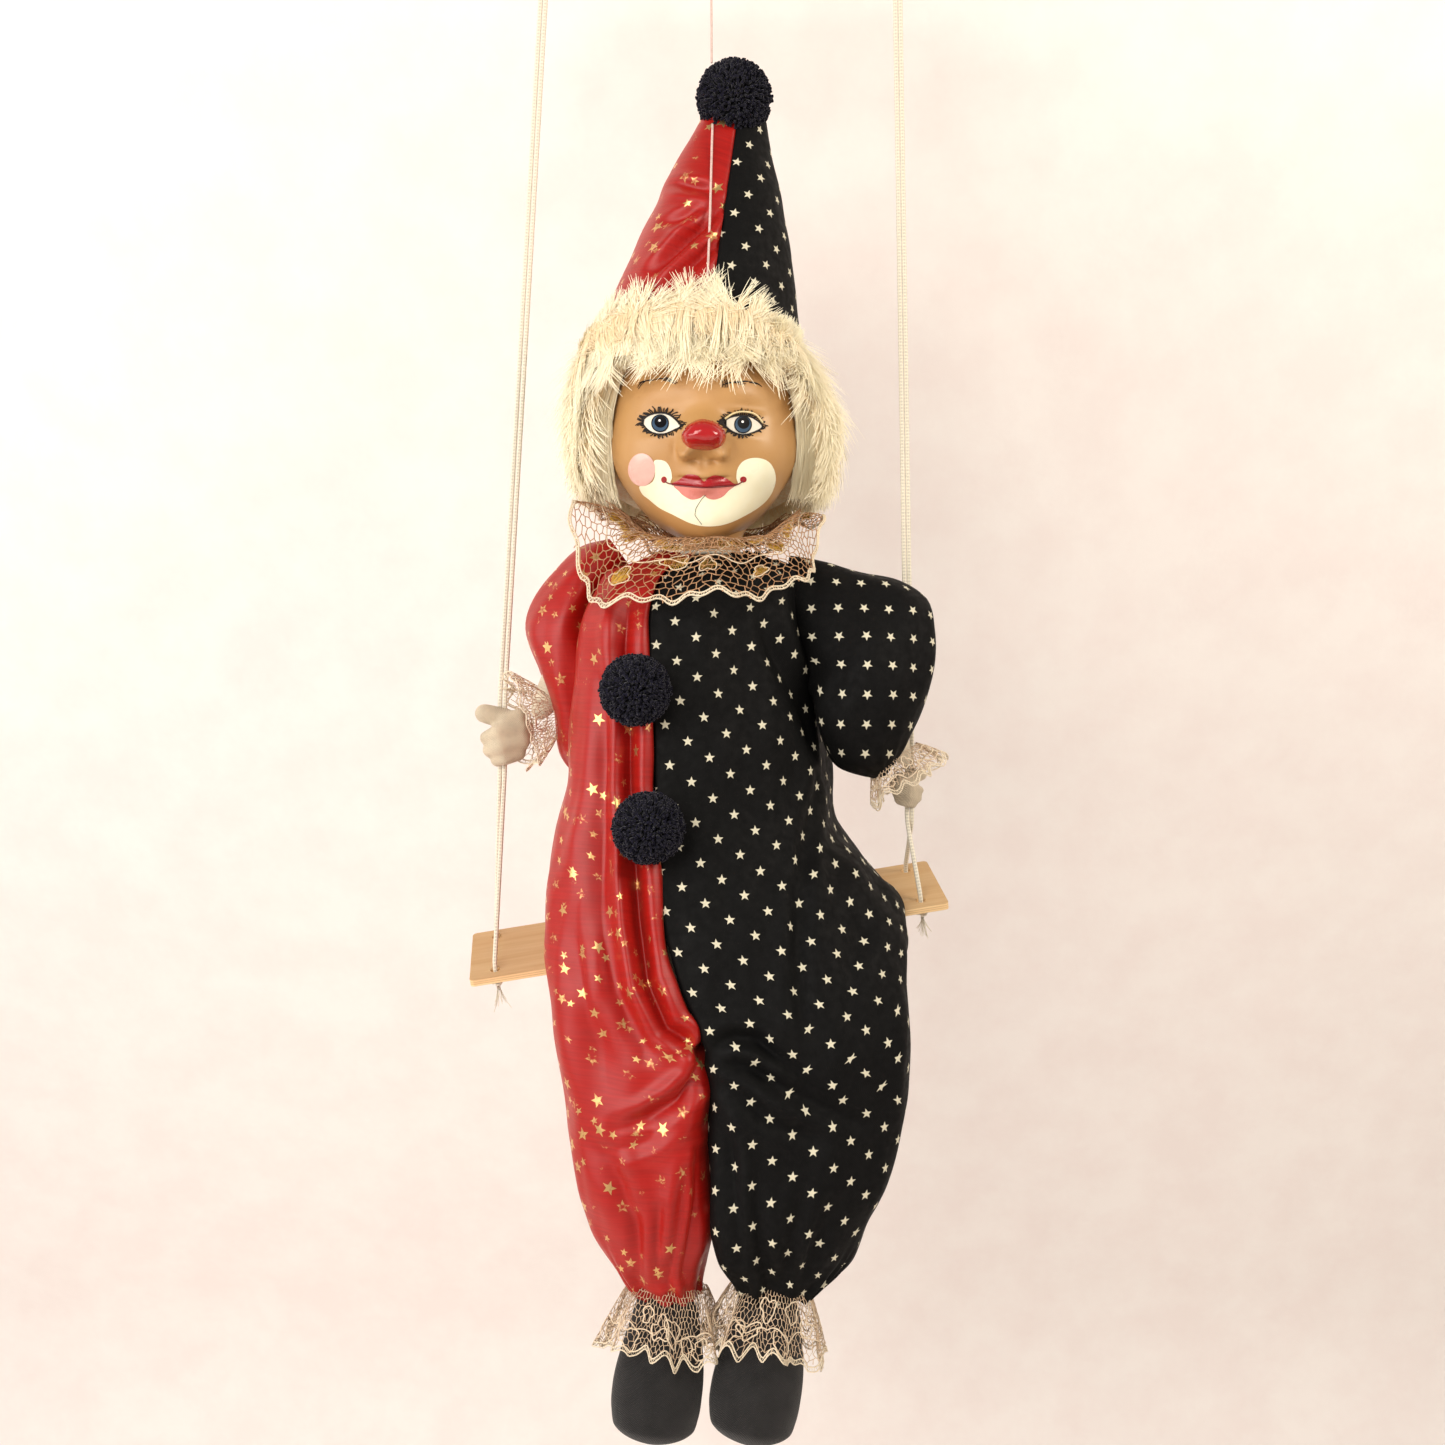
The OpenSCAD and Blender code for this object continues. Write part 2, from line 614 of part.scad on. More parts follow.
// Sleeve rings: middle, direction, half width and half depth
sleeve_cols = 20;
wrist_hole_r = arm_r + cloth_t + soft_gap;
function sleeve_end(k) =
    [mix(elbow_c[k], wrist_c[k], 0.86), unit(wrist_c[k] - elbow_c[k]), wrist_hole_r, wrist_hole_r];
sleeves = [
    [
        [shoulder_c[RED], [-0.8, 0, -0.6], 11, 15],
        [shoulder_c[RED] + [-7, -2, -4], [-0.6, 0, -0.8], 17, 21],
        [shoulder_c[RED] + [-13, -5, -16], [-0.2, 0, -0.98], 16, 23],
        [shoulder_c[RED] + [-14, -5, -32], [-0.1, 0, -0.99], 14, 21],
        [mix(elbow_c[RED], wrist_c[RED], 0.5) + [2, 0, -3], [-0.45, 0.1, -0.89], 12, 17],
        sleeve_end(RED)
    ],
    [
        [shoulder_c[BLACK], [0.75, -0.2, -0.63], 11, 14],
        [shoulder_c[BLACK] + [13, -8, -5], [0.45, 0, -0.9], 23, 21],
        [shoulder_c[BLACK] + [19, -14, -23], [0.1, 0, -1], 25, 24],
        [shoulder_c[BLACK] + [20, -16, -43], [0.05, 0.05, -1], 24, 24],
        [shoulder_c[BLACK] + [23, -12, -65], [0.4, 0.3, -0.86], 19, 18],
        sleeve_end(BLACK)
    ]
];
module sleeve(k) {
    function rows(inward) =
        [for (s = sleeves[k]) ring(s[0], s[1], s[2] - inward, s[3] - inward, sleeve_cols)];
    cloth_solid(rows(0), rows(cloth_t), true);
}
module red_sleeve() { color("crimson") sleeve(RED); }
module black_sleeve() { color("#201f20") sleeve(BLACK); }

// Trouser legs hang in front of the seat, full at the hip and gathered at the ankle
trouser_cols = 24;
trouser_rows = 10;
trouser_front = 30;
trouser_back = 27;
trouser_rise = bend_clear_r - 3;
seat_drop = 14;
top_front_z = bend_z + trouser_rise;
top_back_z = bend_z - seat_drop;
cuff_r = ankle_r + 0.6 + soft_gap + cloth_t;
cuff_z = ankle_z + 4;
// Outer edge of each trouser leg by share of its height
function leg_edge(shares, full, cuff_x) = [for (s = shares) [s[0], leg_split_x + s[1] * full], [1, cuff_x]];
trouser_outer = [
    leg_edge([[0, 0.938], [0.25, 1], [0.5, 0.908], [0.75, 0.754], [0.9, 0.585]],
        -red_leg_w, ankle_c[RED].x - cuff_r),
    leg_edge([[0, 0.86], [0.25, 1], [0.5, 0.98], [0.75, 0.87], [0.9, 0.675]],
        black_leg_w, ankle_c[BLACK].x + cuff_r)
];
trouser_inner = [
    [[0, leg_split_x - leg_split_gap], [0.8, leg_split_x - leg_split_gap], [1, ankle_c[RED].x + cuff_r]],
    [[0, leg_split_x + leg_split_gap], [0.75, leg_split_x + leg_split_gap], [1, ankle_c[BLACK].x - cuff_r]]
];
trouser_deep =
    [[0, -0.05], [0.07, 0.28], [0.16, 0.52], [0.3, 0.86], [0.46, 1], [0.65, 0.94], [0.88, 0.62], [1, 0]];
// Squareness of a trouser leg's section on the side that meets the other leg and on its outer side
trouser_square = [0.6, 0.82];
function squared(share, power) = sign(share) * pow(abs(share), power);
function trouser_point(k, t, a, inward) =
    let (x_out = eased(trouser_outer[k], t), x_in = eased(trouser_inner[k], t),
         x_mid = (x_out + x_in) / 2, w = abs(x_out - x_in) / 2 - inward,
         full = eased(trouser_deep, t),
         front = abs(a) < 90,
         d = mix(cuff_r, front ? trouser_front : trouser_back, front ? full : max(full, 0.9 - t)) - inward,
         inside = (k == RED ? a : -a) > 0,
         power = mix(trouser_square[inside ? 0 : 1], 1, t * t),
         crease = t > 0.15 ? 2.2 * hump(a + (k == RED ? -60 : 62) * (1.6 - t), 14) * sin(180 * t) : 0,
         x = x_mid + (w - (front ? crease : 0)) * squared(sin(a), power),
         y = mix(bend_y, ankle_c[k].y, t) - (d - crease) * squared(cos(a), power),
         top = mix(top_front_z, top_back_z, (1 - cos(a)) / 2))
    [x, y, mix(top, cuff_z, t)];
module trouser_leg(k) {
    function grid(inward) = [for (i = [0 : trouser_rows]) [for (j = [0 : trouser_cols - 1])
        trouser_point(k, i / trouser_rows, wrapped_u(j, trouser_cols), inward)]];
    cloth_solid(grid(0), grid(cloth_t), true);
}
module red_trouser_leg() { color("crimson") trouser_leg(RED); }
module black_trouser_leg() { color("#201f20") trouser_leg(BLACK); }

// Gathered lace: a band whose free edge waves in and out and up and down
module ruffle(rows) {
    function moved(by) = [for (r = rows) [for (p = r) p + by]];
    cloth_solid(rows, moved([0, 0, -lace_t]), true);
}
collar_cols = collar_waves * 6;
collar_rows = 3;
collar_fall = 3;
collar_top_z = neck_z - 1.5;
module lace_collar() {
    rows = [for (i = [0 : collar_rows]) let (s = i / collar_rows) [for (j = [0 : collar_cols - 1])
        let (a = wrapped_u(j, collar_cols), front = pow((1 + cos(a)) / 2, 2),
             r = mix(neck_cloth_r + neck_tie_d + 2 * soft_gap, collar_reach * mix(0.817, 1, front), s),
             z = collar_top_z - collar_droop * mix(0.09, 1, front) * s * s - collar_fall * s
                 + collar_wave_h * s * cos(a * collar_waves))
        [axis_x + r * sin(a), axis_y - r * cos(a), z]]];
    color("blanchedalmond") ruffle(rows);
}

// Cuff that flares from a wrist or ankle at a point, along a direction
module flared_lace(centre, along, r_in, r_out, long, waves, wave_h) {
    cols = waves * 4;
    steps = 2;
    u = unit(cross([0, 1, 0], along));
    v = cross(unit(along), u);
    function band(inward) = [for (i = [0 : steps]) let (s = i / steps) [for (j = [0 : cols - 1])
        let (a = 360 * j / cols, r = mix(r_in, r_out + wave_h * cos(a * waves), s) - inward)
        centre + unit(along) * long * s - v * r * cos(a) - u * r * sin(a)]];
    cloth_solid(band(0), band(lace_t), true);
}
cuff_lace_out = 11.4;
cuff_lace_long = 3.6;
module lace_cuff(k) {
    d = unit(wrist_c[k] - elbow_c[k]);
    r = arm_r + lace_t + soft_gap;
    color("blanchedalmond")
        flared_lace(mix(elbow_c[k], wrist_c[k], 0.88), d, r, cuff_lace_out, cuff_lace_long, cuff_waves, 0.6);
}
ankle_lace_out = 19.6;
ankle_lace_long = 15;
module ankle_lace(k) {
    d = unit([foot_tip[k].x, foot_tip[k].y, ankle_z - foot_len] - ankle_c[k]);
    color("blanchedalmond")
        flared_lace(ankle_c[k] + 3.6 * d, d, ankle_r + lace_t + 3.6,
            ankle_lace_out, ankle_lace_long, cuff_waves, 0.5);
}

hanger_bar();
hanger_knots();
head_thread();
hat_thread();
swing_cord(-1, -1);  // right_front_cord
swing_cord(-1, 1);  // right_back_cord
swing_cord(1, -1);  // left_front_cord
swing_cord(1, 1);  // left_back_cord
swing_seat();
seat_knots();
torso_stuffing();
neck_tie();
leg(RED);  // right_leg
leg(BLACK);  // left_leg
foot(RED);  // right_foot
foot(BLACK);  // left_foot
arm(RED);  // right_arm
arm(BLACK);  // left_arm
hand(RED);  // right_hand
hand(BLACK);  // left_hand
head();
wig();
hat_red_panel();
hat_black_panel();
hat_pompom();
costume_red_half();
costume_black_half();
chest_pompom(pompom_t[0]);  // upper_chest_pompom
chest_pompom(pompom_t[1]);  // lower_chest_pompom
red_sleeve();
black_sleeve();
red_trouser_leg();
black_trouser_leg();
lace_collar();
lace_cuff(RED);  // right_lace_cuff
lace_cuff(BLACK);  // left_lace_cuff
ankle_lace(RED);  // right_ankle_lace
ankle_lace(BLACK);  // left_ankle_lace
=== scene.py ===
"""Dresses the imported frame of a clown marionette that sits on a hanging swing.

Lengths in the code are millimetres in the frame's own axes; meshes are made in metres.
"""

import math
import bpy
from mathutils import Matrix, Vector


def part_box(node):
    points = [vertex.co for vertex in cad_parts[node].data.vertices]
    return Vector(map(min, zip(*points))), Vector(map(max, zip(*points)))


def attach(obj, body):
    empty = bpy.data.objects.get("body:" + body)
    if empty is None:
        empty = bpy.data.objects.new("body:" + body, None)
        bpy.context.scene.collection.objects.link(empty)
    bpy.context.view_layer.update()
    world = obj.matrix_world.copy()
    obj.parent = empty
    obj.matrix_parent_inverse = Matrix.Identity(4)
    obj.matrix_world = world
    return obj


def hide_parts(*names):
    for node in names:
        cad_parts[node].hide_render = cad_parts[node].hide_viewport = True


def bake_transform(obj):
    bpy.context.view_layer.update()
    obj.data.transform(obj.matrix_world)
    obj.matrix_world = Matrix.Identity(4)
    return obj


bl_info = {
    "name": "Clown marionette on a swing",
    "version": (1, 0, 0),
    "blender": (4, 5, 0),
    "location": "View3D > Sidebar > Marionette",
    "description": "Builds the porcelain face, wig, costume, lace and cords over the packed frame",
    "category": "Object",
}

import bmesh
import bpy
import numpy as np
from mathutils import Vector, geometry, noise

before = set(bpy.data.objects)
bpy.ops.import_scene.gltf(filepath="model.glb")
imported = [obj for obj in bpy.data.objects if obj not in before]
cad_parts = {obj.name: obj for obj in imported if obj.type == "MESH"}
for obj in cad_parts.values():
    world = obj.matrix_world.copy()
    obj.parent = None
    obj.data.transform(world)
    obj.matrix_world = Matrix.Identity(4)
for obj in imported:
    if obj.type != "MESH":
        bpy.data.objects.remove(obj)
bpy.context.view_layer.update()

MM = 0.001
RED, BLACK = 0, 1
SIDES = ("right", "left")
LOWER_LEGS = ("right_lower_leg", "left_lower_leg")
ARMS = ("right_sleeved_arm", "left_sleeved_arm")
CAMERA = np.array([0.7, -705.0, -338.0])
SEAT_C = np.array([-6.3, 15.0, -426.2])
SEAT_TURN = (20.0, -8.8, 3.4)
NECK = np.array([-4.0, 7.0, -262.2])
HEAD_C = np.array([-7.2, 5.0, -206.2])
HEAD_HALF = np.array([40.0, 44.0, 53.0])
HAT_EDGE_Z, HAT_H, HAT_R, HAT_TIP_R, HAT_LEAN = -166.5, 85.0, 41.3, 14.5, 13.0
HAT_BELLY, HAT_RED_SIDE = 1.6, 3.8
FRINGE_V, SIDE_HAIR_V, FACE_SIDE = 26.0, -29.0, (56, 84)
STRAND = np.linspace(0, 1, 7)
GRIPS = np.array([[-96.5, 13.0, -342.2], [83.3, 13.0, -366.2]])
ANKLES = np.array([[-22.0, -37.0, -576.2], [20.0, -37.0, -576.2]])
TOES = np.array([[-28.0, -46.0, -630.2], [11.0, -47.0, -630.2]])
FLEX_Z = -14.2
CORD_X, PAIR_HALF, THREAD_X = 76.5, 1.1, -4.2


# Curves, grids and meshes


def unit(v):
    v = np.asarray(v, float)
    return v / np.maximum(np.linalg.norm(v, axis=-1, keepdims=True), 1e-9)


def mix(a, b, t):
    return a + (b - a) * t


def hump(x, width):
    return np.exp(-((x / width) ** 2))


def ramp(x, low, high):
    t = np.clip((x - low) / (high - low), 0, 1)
    return t * t * (3 - 2 * t)


def hermite(a, m, b, n, s):
    """Smooth way from a to b that sets out with slope m and ends with slope n."""
    start = (2 * s**3 - 3 * s**2 + 1) * a + (s**3 - 2 * s**2 + s) * m
    return start + (3 * s**2 - 2 * s**3) * b + (s**3 - s**2) * n


def spline(table, t):
    """Values at t of a smooth curve through rows of [t, value, ...]."""
    table = np.asarray(table, float)
    x, y = table[:, 0], table[:, 1:]
    h = np.diff(x)[:, None]
    slope = np.diff(y, axis=0) / h
    inner = (slope[:-1] * h[1:] + slope[1:] * h[:-1]) / (h[1:] + h[:-1])
    m = np.vstack([slope[:1], inner, slope[-1:]])
    t = np.clip(np.asarray(t, float), x[0], x[-1])
    k = np.clip(np.searchsorted(x, t, side="right") - 1, 0, len(x) - 2)
    s = ((t - x[k]) / h[k, 0])[..., None]
    value = hermite(y[k], h[k] * m[k], y[k + 1], h[k] * m[k + 1], s)
    return value[..., 0] if value.shape[-1] == 1 else value


def run_of(line):
    """Length along a chain of points up to each of them."""
    return np.concatenate([[0], np.cumsum(np.linalg.norm(np.diff(line, axis=0), axis=1))])


def round_of(grid):
    """Length along each row of a grid of points up to each of them."""
    steps = np.linalg.norm(np.diff(grid, axis=1), axis=-1)
    return np.concatenate([np.zeros((len(grid), 1)), np.cumsum(steps, 1)], 1)


def from_lines(points, lines):
    """Distance of points in a plane from a chain of lines, and how far along it they are, from 0 to 1."""
    lines = np.asarray(lines, float)
    best = np.full(points.shape[:-1], 1e9)
    along = np.zeros(points.shape[:-1])
    count = len(lines) - 1
    for k, (a, b) in enumerate(zip(lines[:-1], lines[1:])):
        d = b - a
        s = np.clip(((points - a) @ d) / (d @ d), 0, 1)
        off = np.linalg.norm(points - a - s[..., None] * d, axis=-1)
        along = np.where(off < best, (k + s) / count, along)
        best = np.minimum(best, off)
    return best, along


def grid_faces(rows, cols, first=0):
    i, j = np.meshgrid(np.arange(rows - 1), np.arange(cols - 1), indexing="ij")
    a = first + i * cols + j
    return np.stack([a, a + 1, a + 1 + cols, a + cols], -1).reshape(-1, 4)


def grid_normals(points):
    """Unit normals of a grid of points, which point to the side that the rows and columns give."""
    return unit(np.cross(np.gradient(points, axis=1), np.gradient(points, axis=0)))


def linked(name, mesh):
    piece = bpy.data.objects.new(name, mesh)
    bpy.context.collection.objects.link(piece)
    return piece


def from_work(name, work):
    """Mesh object from a working mesh, which is freed."""
    mesh = bpy.data.meshes.new(name)
    work.to_mesh(mesh)
    work.free()
    return linked(name, mesh)


def new_piece(name, points, faces, finish, uv=None, edges=()):
    """Mesh object from points in millimetres, with an optional pattern map in millimetres of cloth."""
    mesh = bpy.data.meshes.new(name)
    points = np.asarray(points, float).reshape(-1, 3) * MM
    mesh.from_pydata(points.tolist(), list(edges), [list(f) for f in faces])
    if uv is not None:
        corner = np.zeros(len(mesh.loops), int)
        mesh.loops.foreach_get("vertex_index", corner)
        layer = mesh.uv_layers.new(name="Cloth")
        layer.uv.foreach_set("vector", np.asarray(uv, np.float32).reshape(-1, 2)[corner].ravel())
    mesh.materials.append(finish)
    piece = linked(name, mesh)
    if len(faces):
        work = bmesh.new()
        work.from_mesh(mesh)
        bmesh.ops.remove_doubles(work, verts=work.verts, dist=2e-6)
        bmesh.ops.dissolve_degenerate(work, edges=work.edges, dist=1e-7)
        work.to_mesh(mesh)
        work.free()
    mesh.polygons.foreach_set("use_smooth", np.ones(len(mesh.polygons), bool))
    return piece


def settled(piece):
    """The piece with its modifiers made part of its mesh."""
    mesh = bpy.data.meshes.new_from_object(piece.evaluated_get(bpy.context.evaluated_depsgraph_get()))
    piece.modifiers.clear()
    piece.data = mesh
    return piece


def thickened(piece, thickness):
    wall = piece.modifiers.new("Wall", "SOLIDIFY")
    wall.thickness = thickness * MM
    wall.offset = -1.0
    wall.use_quality_normals = True
    return settled(piece)


def facing_out(piece, centre):
    """Turns the faces of an open sheet so that they point away from a centre."""
    work = bmesh.new()
    work.from_mesh(piece.data)
    bmesh.ops.recalc_face_normals(work, faces=work.faces)
    middle = Vector(np.asarray(centre, float) * MM)
    if sum(f.normal.dot(f.calc_center_median() - middle) * f.calc_area() for f in work.faces) < 0:
        bmesh.ops.reverse_faces(work, faces=work.faces)
    work.to_mesh(piece.data)
    work.free()
    return piece


def grid_piece(name, grid, cover, uv=None, centre=None):
    """Sheet from a grid of points that faces away from a centre, or from the middle of the grid."""
    piece = new_piece(name, grid, grid_faces(*grid.shape[:2]), cover, uv)
    return facing_out(piece, grid.reshape(-1, 3).mean(0) if centre is None else centre)


def placed(piece, body, slot, *nodes):
    """Puts a piece on its body and hides the solids that it stands for."""
    if isinstance(body, str):
        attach(piece, body)
    if nodes:
        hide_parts(*nodes)
    return piece


def rounded(points, reach):
    """A chain of lines whose corners are eased over a reach on both sides."""
    points = np.asarray(points, float)
    out = [points[0]]
    for a, b, c in zip(points[:-2], points[1:-1], points[2:]):
        r = min(reach, 0.45 * np.linalg.norm(b - a), 0.45 * np.linalg.norm(c - b))
        p, q = b + unit(a - b) * r, b + unit(c - b) * r
        for s in np.linspace(0, 1, 6):
            out.append(mix(mix(p, b, s), mix(b, q, s), s))
    out.append(points[-1])
    return np.array(out)


def spaced(line, step):
    """Points at even steps along a chain of lines."""
    line = np.asarray(line, float)
    long = run_of(line)
    at = np.linspace(0, long[-1], max(2, int(round(long[-1] / step)) + 1))
    return np.stack([np.interp(at, long, line[:, k]) for k in range(3)], 1)


def tube_grid(line, radius, sides):
    """Grid of points round a line, with its pattern map: round and along, in millimetres."""
    line = np.asarray(line, float)
    heading = unit(np.gradient(line, axis=0))
    side = unit(np.cross(heading, [0.02, 1.0, 0.05]))
    up = np.cross(side, heading)
    a = np.linspace(0, 2 * math.pi, sides + 1)
    r = np.broadcast_to(np.asarray(radius, float), (len(line),))[:, None, None]
    ring = np.cos(a)[None, :, None] * side[:, None] + np.sin(a)[None, :, None] * up[:, None]
    grid = line[:, None] + r * ring
    uv = np.stack(np.broadcast_arrays(a[None] * r[:, :, 0], run_of(line)[:, None]), -1)
    return grid, uv


# Shader maths


def arithmetic(operation):
    return lambda value, *others: value.maths(operation, *others)


class Value:
    """A socket in a material's tree. Arithmetic on it adds Math nodes."""

    def __init__(self, tree, socket):
        self.tree, self.socket = tree, socket

    def maths(self, operation, *others):
        return self.tree.node("ShaderNodeMath", {"operation": operation}, dict(enumerate((self, *others))))

    def __rsub__(self, other):
        return self.tree.node("ShaderNodeMath", {"operation": "SUBTRACT"}, {0: other, 1: self})

    __add__ = __radd__ = arithmetic("ADD")
    __sub__ = arithmetic("SUBTRACT")
    __mul__ = __rmul__ = arithmetic("MULTIPLY")
    __truediv__ = arithmetic("DIVIDE")
    __lt__ = arithmetic("LESS_THAN")
    __abs__ = arithmetic("ABSOLUTE")


class Nodes:
    """A tree under construction, to which one method adds any node."""

    def __init__(self, tree):
        self.nodes, self.links = tree.nodes, tree.links

    def feed(self, node, inputs):
        for key, value in inputs.items():
            socket = node.inputs[key]
            if isinstance(value, Value):
                self.links.new(value.socket, socket)
            elif socket.type == "RGBA" and len(value) == 3:
                socket.default_value = (*value, 1.0)
            else:
                socket.default_value = value

    def node(self, kind, settings=None, inputs=None, output=0):
        node = self.nodes.new(kind)
        for key, value in (settings or {}).items():
            setattr(node, key, value)
        self.feed(node, inputs or {})
        return Value(self, node.outputs[output])


class Finish(Nodes):
    """A material under construction, with names for the common steps."""

    def __init__(self, name):
        self.material = bpy.data.materials.new(name)
        self.material.use_nodes = True
        super().__init__(self.material.node_tree)
        self.shader = next(n for n in self.nodes if n.type == "BSDF_PRINCIPLED")

    def place(self):
        return self.node("ShaderNodeTexCoord", output="Object")

    def split(self, vector):
        return [self.node("ShaderNodeSeparateXYZ", inputs={0: vector}, output=k) for k in range(3)]

    def cloth(self):
        """Place on the cloth, round and along, in millimetres."""
        return self.split(self.node("ShaderNodeUVMap", {"uv_map": "Cloth"}))[:2]

    def attribute(self, name):
        return self.node("ShaderNodeAttribute", {"attribute_name": name}, output=2)

    def scaled(self, vector, *scale):
        return self.node("ShaderNodeMapping", inputs={0: vector, 3: scale})

    def noise(self, vector, scale, detail=2.0, rough=0.5):
        inputs = {"Vector": vector, "Scale": scale, "Detail": detail, "Roughness": rough}
        return self.node("ShaderNodeTexNoise", inputs=inputs)

    def blend(self, share, a, b):
        return self.node("ShaderNodeMix", {"data_type": "RGBA"}, {0: share, 6: a, 7: b}, 2)

    def between(self, value, low, high, to_low=0.0, to_high=1.0):
        return self.node(
            "ShaderNodeMapRange",
            {"clamp": True},
            {"Value": value, "From Min": low, "From Max": high, "To Min": to_low, "To Max": to_high},
        )

    def bump(self, height, strength, distance):
        return self.node(
            "ShaderNodeBump", inputs={"Height": height, "Strength": strength, "Distance": distance * MM}
        )

    def done(self, **sockets):
        self.feed(self.shader, {key.replace("_", " "): value for key, value in sockets.items()})
        return self.material


def star_reach(x, y):
    """How large a five-pointed star has to be for its edge to pass through a place."""
    r = (x * x + y * y).maths("SQRT")
    turn = x.maths("ARCTAN2", y) * (5 / (2 * math.pi))
    fold = abs(turn - turn.maths("ROUND")) * (2 * math.pi / 5)
    inner, a = 0.42, math.pi / 5
    nx, ny = inner * math.sin(a), 1 - inner * math.cos(a)
    return r * (fold.maths("COSINE") + fold.maths("SINE") * (ny / nx))


def weave(u, v, pitch):
    """Height of a plain weave."""
    across = (u * (2 * math.pi / pitch)).maths("SINE")
    return across * (v * (2 * math.pi / pitch)).maths("SINE")


def srgb(r, g, b):
    """Colour from the usual 0 to 255 values."""
    def linear(c):
        c = c / 255
        return c / 12.92 if c <= 0.04045 else ((c + 0.055) / 1.055) ** 2.4
    return (linear(r), linear(g), linear(b))


# Sizes and colours that a user would change


def colour(name, description, *rgb):
    return bpy.props.FloatVectorProperty(
        name=name, description=description, default=srgb(*rgb), subtype="COLOR", size=3, min=0.0, max=1.0
    )


def length(name, description, default):
    return bpy.props.FloatProperty(
        name=name, description=description, default=default * MM, min=0.0, unit="LENGTH", subtype="DISTANCE"
    )


def count(name, description, default):
    return bpy.props.IntProperty(name=name, description=description, default=default, min=1)


class MarionetteColours(bpy.types.PropertyGroup):
    """Colours of the marionette's finishes"""

    skin: colour("Skin", "Glazed porcelain of the face", 194, 149, 93)
    nose: colour("Nose", "Red enamel of the nose", 176, 16, 22)
    lip_red: colour("Upper lip", "Dark red enamel of the upper lip", 165, 16, 26)
    lip_pink: colour("Lower lip", "Pink enamel of the lower lip", 232, 140, 128)
    cheek: colour("Cheek", "Pink enamel disc on the cheek", 242, 190, 176)
    mouth_white: colour("Mouth patch", "White enamel round the mouth", 255, 252, 222)
    iris: colour("Iris", "Blue grey of the eyes", 66, 90, 114)
    ink: colour("Ink", "Dark line of brows and lashes", 30, 22, 20)
    hair: colour("Wig", "Cream plush of the wig", 255, 247, 218)
    # The wig's root colour is painted shade: a deeper cream where the strands crowd and shade one another.
    hair_root_shade: colour("Wig roots", "Deeper cream between the strands", 244, 218, 172)
    red_cloth: colour("Red satin", "Red half of the costume", 172, 18, 10)
    black_cloth: colour("Black cloth", "Black half of the costume", 7, 7, 7)
    star: colour("Printed star", "Cream of the stars on the black cloth", 214, 208, 184)
    foil: colour("Foil star", "Gold of the stars on the red satin", 224, 184, 122)
    yarn: colour("Pompom yarn", "Dark navy of the pompoms", 12, 11, 24)
    lace: colour("Lace border", "Cream of the lace's border and motifs", 242, 226, 198)
    # The net's tan is partly the lace's own tone and partly painted shade.
    lace_net_tan_and_shade: colour("Lace net", "Tan of the fine net of the lace", 180, 130, 86)
    lurex: colour("Lace gold", "Gold thread in the lace", 244, 192, 80)
    shoe: colour("Shoe cloth", "Charcoal cloth of the feet", 38, 37, 37)
    hand: colour("Hand cloth", "Grey cream cloth of the hands", 214, 198, 172)
    calico: colour("Calico", "Cloth of the stuffed body", 226, 214, 190)
    cord: colour("Cord", "Cream of the swing cords", 238, 230, 210)
    wood: colour("Wood", "Pale wood of the seat and bar", 252, 220, 168)
    wood_dark: colour("Wood grain", "Darker grain and glue lines of the wood", 212, 164, 110)
    backdrop: colour("Backdrop", "Pale wall and floor", 241, 236, 232)


class MarionetteSizes(bpy.types.PropertyGroup):
    """Sizes of the marionette's fine detail"""

    cord_d: length("Cord diameter", "Thickness of one swing cord", 2.0)
    thread_d: length("Thread diameter", "Thickness of the head thread", 1.0)
    cloth_t: length("Cloth thickness", "Thickness of the costume cloth", 0.7)
    star: length("Star size", "Reach of a printed star's points", 2.3)
    star_pitch: length("Star pitch", "Distance between printed stars", 11.0)
    foil_pitch: length("Foil pitch", "Distance between foil stars", 11.0)
    hair: length("Hair length", "Length of a strand of the wig", 29.0)
    hair_t: length("Hair thickness", "Width of a strand of the wig", 0.34)
    hair_count: count("Hair count", "Strands in each half of the wig", 13500)
    yarn: length("Yarn length", "Length of a pompom's strands", 6.0)
    yarn_count: count("Yarn count", "Strands on each pompom", 2600)
    lace_t: length("Lace thread", "Thickness of the lace net's thread", 0.36)
    lace_cell: length("Lace cell", "Width of one cell of the net", 2.6)


def hues():
    return bpy.context.scene.marionette_colours


def sizes():
    return bpy.context.scene.marionette_sizes


def mm(name):
    return getattr(sizes(), name) / MM


# Finishes


def enamel(name, hue, gloss=0.22, second=None, coat=0.35, shine=0.5):
    """Brushed-on enamel with slight unevenness."""
    f = Finish(name)
    at = f.place()
    patch = f.noise(at, 180.0, 3.0)
    deeper = [c * 0.82 for c in hue] if second is None else second
    return f.done(
        Base_Color=f.blend(f.between(patch, 0.35, 0.7, 0.0, 0.6), hue, deeper),
        Roughness=f.between(f.noise(at, 90.0), 0.3, 0.7, gloss, gloss + 0.12),
        Specular_IOR_Level=shine,
        Coat_Weight=coat,
        Coat_Roughness=0.12,
    )


